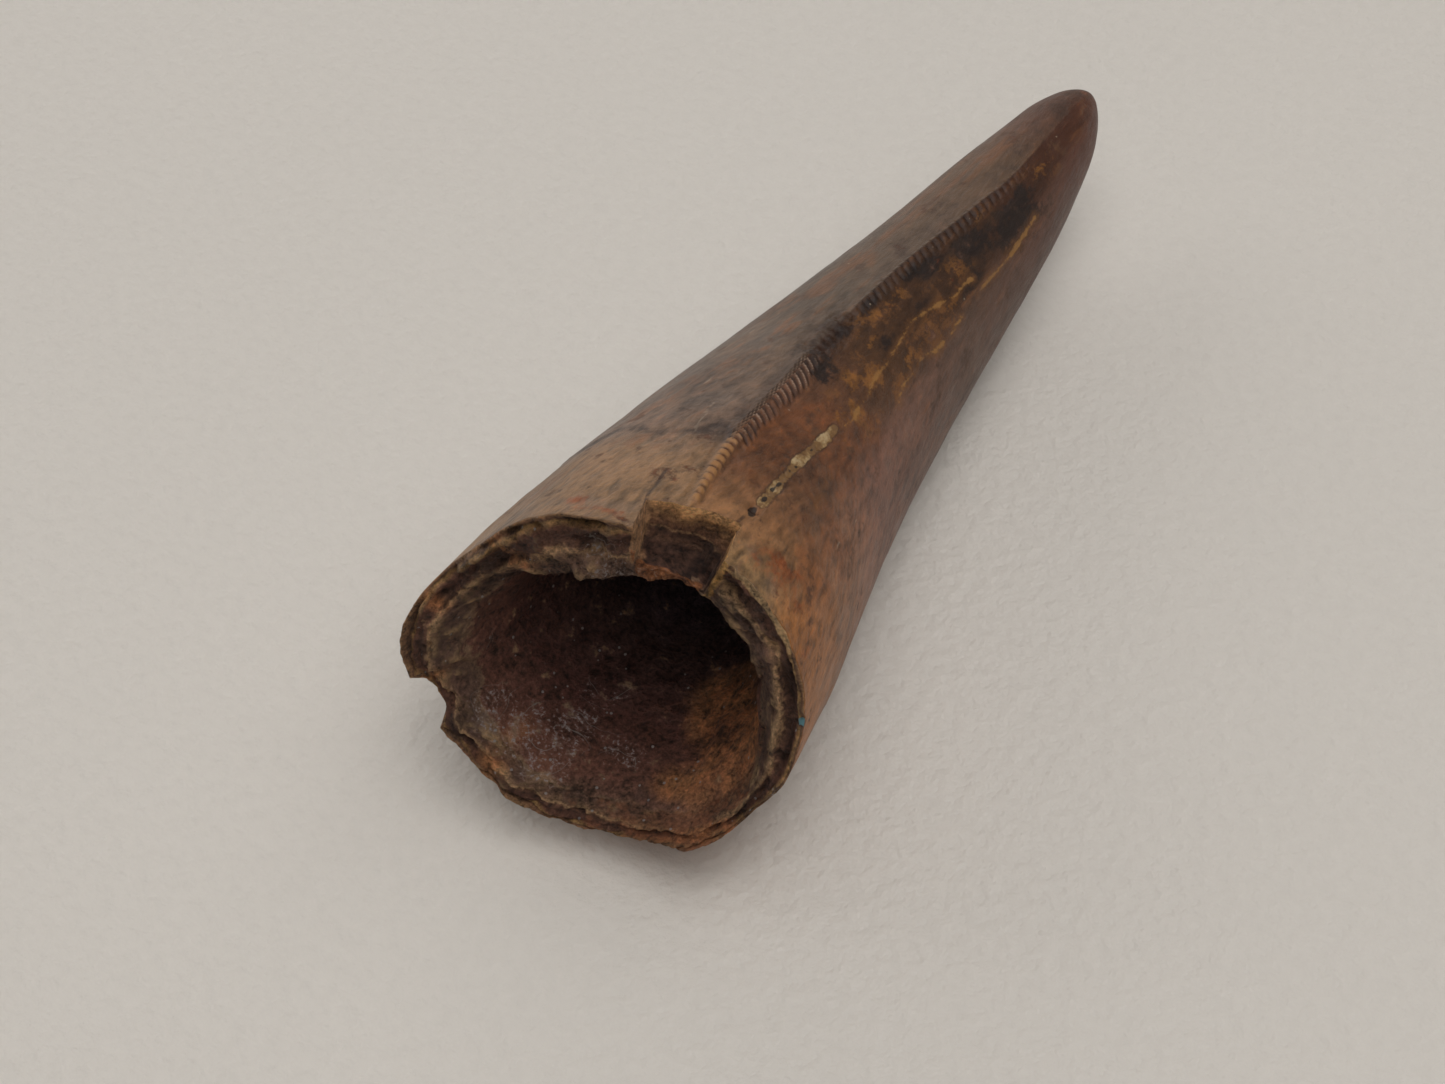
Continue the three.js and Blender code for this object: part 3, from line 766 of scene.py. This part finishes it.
def inside_places(y, angle, radius, depth, point):
    """What the finish of the broken wall, the notch and the pulp cavity follows."""
    share = depth / wall_thickness(round(angle, 1))
    part = layer(angle, clamped(share))
    over_ledge = y - ledge(angle, clamped(share))
    wall = ease(1.15, 0.9, share)
    outer_layer = ease(0.27, 0.2, part)
    right_ledge = shows(angle, -75, -45, 50, 60)
    left_ledge = 0.9 * max(ease(-100, -120, angle), ease(130, 150, angle))
    upward = 1 + math.sin(math.radians(-angle - 35))
    places = {name: blot(y, angle, radius, spots) for name, spots in INSIDE_SPOTS.items()}
    places["blue_speck"] *= outer_layer
    places.update(notch_places(point, depth, share, over_ledge))
    places.update({
        "inward": y / CAVITY_DEPTH,
        "wall_part": wall,
        "hollow": over_ledge * wall if share < 1.05 else 0.0,
        "layer": part,
        "dusted": 0.5 * ease(14.0, 8.0, y) * ease(0.0, 0.5, upward),
        # Painted shade, with dark mottling, on the inner ledge of the wall by the lip.
        "ledge_shade": wall * ease(0.66, 0.76, part) * max(right_ledge, left_ledge),
        "cream_edge": outer_layer * shows(angle, 22, 34, 52, 56),
        "low_edge": wall * blot(0.0, angle, radius, LOW_EDGE),
    })
    return places


def record_places(piece):
    """Stores on every vertex where it lies on the tooth, for the finishes to follow."""
    mesh = piece.data
    sides = {OUTSIDE: set(), INSIDE: set()}
    for face in mesh.polygons:
        sides[face.material_index].update(face.vertices)
    columns = {}
    for i, vertex in enumerate(mesh.vertices):
        point = stand_up(vertex.co)
        y, angle, depth, radius = locate(point)
        places = {}
        if i in sides[OUTSIDE]:
            places.update(outside_places(y, angle, radius))
        if i in sides[INSIDE]:
            places.update(inside_places(y, angle, radius, depth, point))
        for name, value in places.items():
            if name not in columns:
                columns[name] = [0.0] * len(mesh.vertices)
            columns[name][i] = value
    for name, values in columns.items():
        mesh.attributes.new(name, "FLOAT", "POINT").data.foreach_set("value", values)


# ---- Finishes ----------------------------------------------------------------------------

# Inputs by number: a MapRange takes its value as 0, where it comes from as 1 and 2, and what it
# becomes as 3 and 4. A Mix takes its share as 0 and its two colours as 6 and 7, and gives out 2.
DARKEST_SHADE = 0.25  # the least light that the grounds leave of a colour


def srgb(code):
    """A linear colour from an sRGB hex value."""
    parts = [int(code[i:i + 2], 16) / 255 for i in (1, 3, 5)]
    return tuple(c / 12.92 if c <= 0.04045 else ((c + 0.055) / 1.055) ** 2.4 for c in parts) + (1.0,)


def add(tree, kind, inputs=None, out=0, stops=(), **settings):
    """Adds a node, with its settings, its inputs as values or links, and a ramp's stops."""
    node = tree.nodes.new("ShaderNode" + kind)
    for key, value in settings.items():
        setattr(node, key, value)
    for key, value in (inputs or {}).items():
        if isinstance(value, bpy.types.NodeSocket):
            tree.links.new(value, node.inputs[key])
        else:
            node.inputs[key].default_value = value
    if stops:
        elements = node.color_ramp.elements
        while len(elements) < len(stops):
            elements.new(0.5)
        for element, (position, colour) in zip(elements, stops):
            element.position, element.color = position, srgb(colour)
    return node.outputs[out] if node.outputs else None


def new_finish(name):
    material = bpy.data.materials.new(name)
    material.use_nodes = True
    material.node_tree.nodes.clear()
    return material, material.node_tree


def uneven_grounds(tree, grounds):
    """Noise patterns, from about -1 to 1, on the piece's own millimetres. Each has the size of
    its grain in mm, how much longer that is along the tooth, and its roughness."""
    metres = add(tree, "TexCoord", out="Object")
    made = {}
    for name, size, stretch, roughness in grounds:
        scaled = add(tree, "VectorMath", {0: metres, 1: (1 / MM, 1 / MM / stretch, 1 / MM)},
                     operation="MULTIPLY")
        cloudy = add(tree, "TexNoise", {"Vector": scaled, "Scale": 0.5 / size, "Detail": 6.0,
                                        "Roughness": roughness})
        made[name] = add(tree, "MapRange", {0: cloudy, 1: 0.36, 2: 0.64, 3: -1.0, 4: 1.0}, clamp=False)
    return made


def scattered_grains(tree, spacing, size, kept):
    """1 on small grains and 0 between them. They lie about `spacing` mm apart, but only some of
    them are kept, those whose random value is above `kept`."""
    metres = add(tree, "TexCoord", out="Object")
    distance = add(tree, "TexVoronoi", {"Vector": metres, "Scale": 1 / (spacing * MM)})
    near = add(tree, "MapRange", {0: distance, 1: size / spacing, 2: 0.4 * size / spacing, 3: 0.0, 4: 1.0},
               interpolation_type="SMOOTHSTEP")
    lucky = add(tree, "MapRange", {0: distance.node.outputs["Color"], 1: kept, 2: kept + 0.1, 3: 0.0,
                                   4: 1.0})
    return add(tree, "Math", {0: near, 1: lucky}, operation="MULTIPLY")


def stirred(tree, total, grounds, shares):
    """Adds some of the grounds to a value, each with its own share."""
    for name, share in shares:
        total = add(tree, "Math", {0: grounds[name], 1: share, 2: total}, operation="MULTIPLY_ADD")
    return total


def lay_stains(tree, colour, grounds, stains):
    """Lays stains over a colour, one after the other. Each follows a recorded place, its edge
    frayed by one of the grounds, and shows from one value of the place to another."""
    for place, ground, fraying, begin, full, amount, stain in stains:
        at = add(tree, "Attribute", out="Fac", attribute_name=place)
        frayed = stirred(tree, at, grounds, ((ground, fraying),))
        mask = add(tree, "MapRange", {0: frayed, 1: begin, 2: full, 3: 0.0, 4: amount},
                   interpolation_type="SMOOTHSTEP")
        stain = srgb(stain) if isinstance(stain, str) else stain
        colour = add(tree, "Mix", {0: mask, 6: colour, 7: stain}, out=2, data_type="RGBA")
    return colour


def graded(tree, place, grounds, shares, stops):
    """Colours that follow a recorded place, stirred by some of the grounds."""
    at = add(tree, "Attribute", out="Fac", attribute_name=place)
    return add(tree, "ValToRGB", {0: stirred(tree, at, grounds, shares)}, stops=stops)


def shaded(tree, colour, grounds, shares, strength=1.0, level=1.0):
    """Makes a colour lighter and darker by some of the grounds, each with its own share."""
    uneven = stirred(tree, 0.0, grounds, shares)
    light = add(tree, "Math", {0: uneven, 1: strength, 2: level}, operation="MULTIPLY_ADD")
    light = add(tree, "Math", {0: light, 1: DARKEST_SHADE}, operation="MAXIMUM")
    return add(tree, "VectorMath", {0: colour, "Scale": light}, operation="SCALE")


def finish_surface(tree, colour, roughness, height, distance, gloss):
    normal = add(tree, "Bump", {"Strength": 1.0, "Distance": distance * MM, "Height": height})
    shader = add(tree, "BsdfPrincipled", {
        "Base Color": colour, "Roughness": roughness, "IOR": 1.55, "Specular IOR Level": gloss,
        "Normal": normal})
    add(tree, "OutputMaterial", {"Surface": shader})


def fossil_enamel(cement_colour, bead_colour):
    """Enamel stained by minerals over dentine, and worn to a satin.

    The eye gets a deep brown body colour with fine growth lines along the crown, ochre and
    near-black mottling beside the serrated edge, gold veins, and a sheen at a low angle. Painted
    shade lies along the left of the serrated edge and in its clefts, with painted highlights on
    its crests."""
    material, tree = new_finish("Fossil enamel and dentine")
    grounds = uneven_grounds(tree, (
        ("clouds", 2.2, 1.5, 0.6), ("mottle", 0.8, 1.3, 0.75), ("lines", 0.24, 15.0, 0.55),
        ("grain", 0.16, 2.6, 0.65)))
    grounds["grains"] = scattered_grains(tree, 1.1, 0.12, 0.62)
    left, near, far = (graded(tree, "along", grounds, (("clouds", 0.02),), stops) for stops in (
        [(0, "#8f6c4b"), (0.14, "#836346"), (0.18, "#775d4b"), (0.5, "#625040"), (0.8, "#674e3a"),
         (0.92, "#604131"), (1, "#5b392a")],
        [(0, "#9c774f"), (0.07, "#8c6340"), (0.16, "#69442b"), (0.3, "#66422d"), (0.45, "#4d3320"),
         (0.7, "#41291a"), (0.9, "#4c2c1d"), (1, "#573324")],
        [(0, "#a16530"), (0.12, "#8e6140"), (0.3, "#7e5746"), (0.6, "#604739"), (1, "#5c372b")]))
    colour = lay_stains(tree, near, grounds, (
        ("lower_right", "mottle", 0.1, 0.1, 0.9, 1.0, far),
        ("left_face", "grain", 0.1, 0.3, 0.7, 1.0, left),
        ("grey_spot", "mottle", 0.5, 0.1, 0.9, 0.4, "#655950"),
        ("left_orange", "lines", 0.6, 0.3, 1.2, 0.6, "#754a2b"),
        ("rust_spot", "mottle", 0.6, 0.3, 1.2, 0.5, "#6b3a18"),
        ("ochre_zone", "mottle", 0.8, 0.9, 1.8, 0.85, "#7d5029"),
        ("ochre_zone", "grain", 0.9, 1.3, 2.2, 0.6, "#2c1f16"),
        ("ochre_spot", "mottle", 1.0, 0.6, 1.4, 0.8, "#855627"),
        # painted shade beside the serrated edge
        ("shade_beside_edge", "mottle", 0.4, 0.2, 0.95, 0.5, "#40332d"),
        ("dark_spot", "mottle", 0.7, 0.3, 0.95, 0.92, "#221916"),
        ("red_spot", "grain", 0.8, 0.6, 1.6, 0.35, "#8a4012"),
        ("red_spot", "mottle", 0.7, 0.5, 1.5, 0.8, "#874219"),
        ("bare_dentine", "lines", 1.0, 1.2, 2.4, 0.42, "#5a4434"),
        ("bare_dentine", "lines", -1.0, 1.5, 2.8, 0.4, "#a08468"),
        ("rim_near", "lines", 0.6, 0.75, 1.5, 0.5, "#46342a"),
        ("left_face", "grain", 1.0, 2.0, 3.2, 0.4, "#93826f"),
        ("enamel_end", "mottle", 0.5, 0.2, 1.1, 0.75, "#332925")))
    along = add(tree, "Attribute", out="Fac", attribute_name="along")
    calm = add(tree, "MapRange", {0: along, 1: 0.05, 2: 0.75, 3: 1.05, 4: 0.5})
    colour = shaded(tree, colour, grounds, (
        ("clouds", 0.2), ("mottle", 0.1), ("lines", 0.25), ("grain", 0.24)), calm, 0.95)

    # Mineral in the open crack: cream and tan, with its holes painted near black as their shade.
    # The first row lays pale specks, partly mineral grains and partly painted glints. The last rows
    # are the serrated edge: painted shade in its clefts and painted highlights on its pale crests,
    # which are golden on the beads by the base.
    cement = add(tree, "ValToRGB", {0: grounds["mottle"]}, stops=[
        (0.0, "#7a5a38"), (0.25, "#92734a"), (0.5, cement_colour), (0.95, "#bba27a")])
    crest = graded(tree, "bead_part", grounds, (), [(0, "#ab927e"), (1, bead_colour)])
    colour = lay_stains(tree, colour, grounds, (
        # Pale specks over the crown: partly mineral grains and partly painted glints.
        ("along", "grains", 3.0, 2.7, 3.4, 0.55, "#a8937c"),
        ("gold_vein", "mottle", 0.35, 0.5, 1.15, 0.45, "#774c25"),
        ("gold_vein", "mottle", 0.14, 0.9, 1.0, 0.65, "#9c713c"),
        ("crack_fill", "mottle", 0.12, 0.63, 0.72, 0.6, "#3d2b20"),
        ("crack_fill", "mottle", 0.1, 0.73, 0.8, 0.9, cement),
        # painted shade in the cement's holes
        ("crack_hole_shade", "mottle", 0.12, 0.45, 0.6, 0.9, "#1f1917"),
        ("scratch", "grain", 0.04, 0.91, 0.98, 0.4, "#a8957f"),
        ("hair_crack", "grain", 0.04, 0.88, 0.97, 0.75, "#33221b"),
        # painted shade in the clefts and painted highlights on the crests
        ("serration_light_and_shade", "mottle", 0.0, 0.0, -0.7, 0.7, "#2a1b15"),
        ("serration_light_and_shade", "mottle", 0.2, 0.1, 0.95, 0.8, crest)))
    height = stirred(tree, grounds["grain"], grounds, (("lines", 0.5),))
    roughness = add(tree, "MapRange", {0: grounds["mottle"], 1: -1.0, 2: 1.0, 3: 0.36, 4: 0.52})
    finish_surface(tree, colour, roughness, height, 0.014, 0.25)
    return material


def broken_dentine(dust_colour):
    """Dentine that snapped off in layers, and the stained wall of the pulp cavity.

    It is matt and splintery: tan on the newly broken edges, near black in the splits, where the
    dark is painted shade, and dusted with pale mineral in the hollow. The cavity darkens inward,
    partly with stain and partly with painted shade."""
    material, tree = new_finish("Broken and stained dentine")
    grounds = uneven_grounds(tree, (
        ("clouds", 1.5, 1.0, 0.55), ("mottle", 0.5, 1.0, 0.65), ("grain", 0.13, 1.0, 0.75),
        ("waves", 0.9, 1.0, 0.2)))
    grounds["grains"] = scattered_grains(tree, 0.55, 0.14, 0.5)
    bend = add(tree, "Math", {0: grounds["waves"]}, operation="ABSOLUTE")
    grounds["threads"] = add(tree, "MapRange", {0: bend, 1: 0.0, 2: 0.06, 3: 1.0, 4: 0.0})
    # The cavity's wall darkens inward: partly brown-black stain and partly painted shade of the deep
    # hollow.
    cavity = graded(tree, "inward", grounds, (("mottle", 0.03), ("clouds", 0.03)), [
        (0, "#805e4b"), (0.05, "#765142"), (0.1, "#6a4537"), (0.2, "#57362d"), (0.35, "#4b342e"),
        (0.5, "#483a3d"), (1, "#443c46")])
    # The broken wall: a tan edge, a dark split, a thin tan line, and a mottled ledge to the lip.
    # The dark of the splits is painted shade.
    layers = graded(tree, "layer", grounds, (("clouds", 0.06), ("mottle", 0.045)), [
        (0, "#9a7450"), (0.05, "#845f42"), (0.1, "#5f4331"), (0.17, "#a37d4f"), (0.25, "#85603f"),
        (0.31, "#5e3d2e"), (0.5, "#503429"), (0.6, "#6a4a38"), (0.65, "#b58f68"), (0.7, "#8a6a50"),
        (0.78, "#755747"), (0.9, "#7e614f"), (1, "#94755a")])
    # The notch: brown at the back with a thin pale ledge across it, which is a painted highlight on
    # a step's edge with painted shade just under it, near black in the gap at the right of its
    # floor, which is painted shadow, tan on its sides, and orange on its lip.
    back = graded(tree, "notch_height", grounds, (("mottle", 0.05), ("clouds", 0.06)), [
        (0.0, "#543a2e"), (0.1, "#664836"), (0.27, "#4c3327"), (0.31, "#583c2c"), (0.35, "#94704f"),
        (0.39, "#6c4a35"), (0.5, "#735037"), (0.68, "#84603e"), (0.76, "#9f7249"), (0.85, "#ba8a5a"),
        (1, "#ba8a5a")])
    colour = lay_stains(tree, cavity, grounds, (
        ("wall_part", "mottle", 0.5, 0.3, 0.8, 0.95, layers),
        ("orange_patch", "clouds", 0.3, 0.2, 1.3, 0.6, "#b97f4e"),
        ("orange_patch", "mottle", 0.5, 0.5, 1.5, 0.6, "#ad6c44"),
        ("orange_patch", "mottle", 1.0, 1.3, 2.2, 0.3, "#5c3a25"),
        ("dark_green", "mottle", 0.8, 0.5, 1.4, 0.6, "#3b2f27"),
        # painted shade with dark mottling on the inner ledge
        ("ledge_shade", "mottle", 0.5, 0.3, 1.1, 0.65, "#46322a"),
        ("cream_edge", "mottle", 0.4, 0.35, 0.8, 0.85, "#a88962"),
        ("hollow", "grain", 0.08, -0.06, -0.3, 0.7, "#a5845f"),
        # Painted shade in the hollows of the broken wall.
        ("hollow", "grain", 0.08, 0.2, 0.7, 0.5, "#33231c"),
        ("low_edge", "mottle", 0.4, 0.3, 0.9, 0.6, "#7b4a2e"),
        ("notch_part", "grain", 0.0, 0.4, 0.6, 1.0, back),
        # painted shadow in the notch's gap
        ("notch_gap_shadow", "mottle", 0.2, 0.4, 0.9, 0.65, "#1f130f"),
        ("notch_left", "mottle", 0.2, 0.35, 0.75, 0.95, "#a47a56"),
        ("notch_lip", "mottle", 0.3, 0.4, 0.8, 0.9, "#925a34"),
        ("notch_right", "mottle", 0.15, 0.4, 0.8, 0.9, "#ab8049")))
    colour = shaded(tree, colour, grounds, (
        ("clouds", 0.34), ("mottle", 0.58), ("grain", 0.8)), level=1.32)
    colour = lay_stains(tree, colour, grounds, (
        ("pale_dust", "mottle", 1.0, 1.2, 2.1, 0.35, "#8c7c73"),
        ("pale_dust", "grain", 0.8, 1.15, 1.7, 0.85, dust_colour),
        ("pale_dust", "threads", 1.0, 1.3, 1.6, 0.6, "#a89d94"),
        ("dusted", "grains", 1.0, 1.2, 1.5, 0.7, "#b9b0ab"),
        ("notch_lip", "grain", 0.8, 1.3, 1.7, 0.6, "#a89a8c"),
        ("blue_speck", "grain", 0.1, 0.45, 0.6, 1.0, "#7fb0b8")))
    height = stirred(tree, grounds["grain"], grounds, (("mottle", 1.4),))
    roughness = add(tree, "MapRange", {0: grounds["mottle"], 1: -1.0, 2: 1.0, 3: 0.5, 4: 0.75})
    finish_surface(tree, colour, roughness, height, 0.07, 0.35)
    return material


def pale_laminate(colour):
    """Matt laminate desk top with a fine leather grain, pressed about 0.8 mm apart."""
    material, tree = new_finish("Pale laminate")
    grounds = uneven_grounds(tree, (("leather", 0.4, 1.0, 0.5), ("fade", 60.0, 1.0, 0.4)))
    body = add(tree, "RGB")
    body.default_value = srgb(colour)
    tint = shaded(tree, body, grounds, (("leather", 0.012), ("fade", 0.01)))
    finish_surface(tree, tint, 0.62, grounds["leather"], 0.03, 0.4)
    return material


# ---- Add-on ------------------------------------------------------------------------------

# Name, height and direction in degrees, and power in watts. All are square, and look at the tooth.
PANELS = (("Front panel", 64, -45, 4.1), ("Back panel", 64, 45, 3.0), ("Ceiling panel", 90, 0, 1.4),
          ("Low left panel", 22, 180, 2.05), ("Low back panel", 22, 135, 1.65))
PANEL_SIZE, PANEL_DISTANCE = 0.8, 1.0
CAMERA_PLACE = Vector((44.370, -74.386, 94.235))
CAMERA_BACK, CAMERA_SIDE = Vector((0.39180, -0.53641, 0.74750)), Vector((0.84441, 0.53225, -0.06064))
FOCAL_LENGTH_IN_PIXELS, FRAME_WIDTH, SENSOR_WIDTH = 2300, 1445, 36


def hex_colour(name, what, default):
    return bpy.props.StringProperty(
        name=name, description=f"Colour of {what}, as an sRGB hex value", default=default)


class ToothSettings(bpy.types.PropertyGroup):
    """What a user may change on the tooth."""
    cement_colour: hex_colour("Crack filling", "the mineral in the open crack", "#a78b63")
    bead_colour: hex_colour("Beads", "the beads at the base of the serrated edge", "#a57648")
    dust_colour: hex_colour("Dust", "the pale mineral dust in the cavity", "#bdb2ae")


class StageSettings(bpy.types.PropertyGroup):
    """The floor, the lights and the camera."""
    floor_colour: hex_colour("Floor colour", "the surface", "#d3ccc3")
    floor_size: bpy.props.FloatProperty(
        name="Floor size", description="Side of the square floor", default=1.6,
        unit="LENGTH", min=0.2)
    lens: bpy.props.FloatProperty(
        name="Lens", description="Focal length of the camera in millimetres",
        default=FOCAL_LENGTH_IN_PIXELS / FRAME_WIDTH * SENSOR_WIDTH, min=20, max=200)


class TOOTH_OT_crown(bpy.types.Operator):
    """Build the tooth: crown, serrated edges, broken rim, notch and pulp cavity"""
    bl_idname = "fossil_tooth.crown"
    bl_label = "Build Tooth"

    def execute(self, context):
        settings = context.scene.fossil_tooth
        finishes = (fossil_enamel(settings.cement_colour, settings.bead_colour),
                    broken_dentine(settings.dust_colour))
        piece = to_object(make_sheet(), "tooth_surface", finishes)
        cutter = to_object(notch_cutter(), "notch_block", finishes)
        chip = piece.modifiers.new("Broken notch", "BOOLEAN")
        chip.operation, chip.object, chip.solver = "DIFFERENCE", cutter, "MANIFOLD"
        before = len(piece.data.polygons)
        cut = bpy.data.meshes.new_from_object(
            piece.evaluated_get(context.evaluated_depsgraph_get()))
        if len(cut.polygons) == before:
            raise RuntimeError("the notch was not cut")
        piece.modifiers.clear()
        piece.data = cut
        bpy.data.objects.remove(cutter)
        for vertex in cut.vertices:
            vertex.co = lay_down(vertex.co)
            vertex.co.z = max(0.0, vertex.co.z)
        record_places(piece)
        for face in cut.polygons:
            face.use_smooth = True
        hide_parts("tooth")
        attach(piece, "root")
        return {"FINISHED"}


class TOOTH_OT_stage(bpy.types.Operator):
    """Set the floor, the lights and the camera"""
    bl_idname = "fossil_tooth.stage"
    bl_label = "Set Stage"

    def execute(self, context):
        settings = context.scene.fossil_tooth_stage
        bm = bmesh.new()
        bmesh.ops.create_grid(bm, x_segments=1, y_segments=1, size=settings.floor_size / 2)
        floor = to_object(bm, "desk_top", [pale_laminate(settings.floor_colour)])

        world = bpy.data.worlds.new("Soft room light")
        world.use_nodes = True
        background = world.node_tree.nodes["Background"]
        background.inputs["Color"].default_value = srgb("#f4f1ee")
        background.inputs["Strength"].default_value = 0.08
        context.scene.world = world
        for name, elevation, azimuth, power in PANELS:
            light = bpy.data.objects.new(name, bpy.data.lights.new(name, "AREA"))
            light.data.size, light.data.energy = PANEL_SIZE, power
            e, a = math.radians(elevation), math.radians(azimuth)
            way = Vector((math.cos(e) * math.cos(a), math.cos(e) * math.sin(a), math.sin(e)))
            light.location = way * PANEL_DISTANCE
            light.rotation_euler = way.to_track_quat("Z", "Y").to_euler()
            context.collection.objects.link(light)

        camera = bpy.data.objects.new("Camera", bpy.data.cameras.new("Camera"))
        camera.data.lens, camera.data.sensor_width = settings.lens, SENSOR_WIDTH
        camera.data.sensor_fit = "HORIZONTAL"
        camera.data.clip_start = 0.01
        axes = Matrix((CAMERA_SIDE, CAMERA_BACK.cross(CAMERA_SIDE), CAMERA_BACK)).transposed()
        camera.matrix_world = Matrix.Translation(CAMERA_PLACE * MM) @ axes.to_4x4()
        context.collection.objects.link(camera)
        context.scene.camera = camera
        context.scene.view_settings.view_transform = "Standard"
        return {"FINISHED"}


class TOOTH_PT_panel(bpy.types.Panel):
    """The tooth's builders"""
    bl_label = "Fossil Tooth"
    bl_space_type = "VIEW_3D"
    bl_region_type = "UI"
    bl_category = "Fossil Tooth"

    def draw(self, context):
        for title, settings, operator in (
                ("Tooth", context.scene.fossil_tooth, TOOTH_OT_crown),
                ("Stage", context.scene.fossil_tooth_stage, TOOTH_OT_stage)):
            box = self.layout.box()
            box.label(text=title)
            for name in settings.__annotations__:
                box.prop(settings, name)
            box.operator(operator.bl_idname)


CLASSES = (ToothSettings, StageSettings, TOOTH_OT_crown, TOOTH_OT_stage, TOOTH_PT_panel)


def register():
    for item in CLASSES:
        bpy.utils.register_class(item)
    bpy.types.Scene.fossil_tooth = bpy.props.PointerProperty(type=ToothSettings)
    bpy.types.Scene.fossil_tooth_stage = bpy.props.PointerProperty(type=StageSettings)


def unregister():
    del bpy.types.Scene.fossil_tooth_stage
    del bpy.types.Scene.fossil_tooth
    for item in reversed(CLASSES):
        bpy.utils.unregister_class(item)


def main():
    register()
    bpy.ops.fossil_tooth.crown()
    bpy.ops.fossil_tooth.stage()


if __name__ == "__main__":
    main()
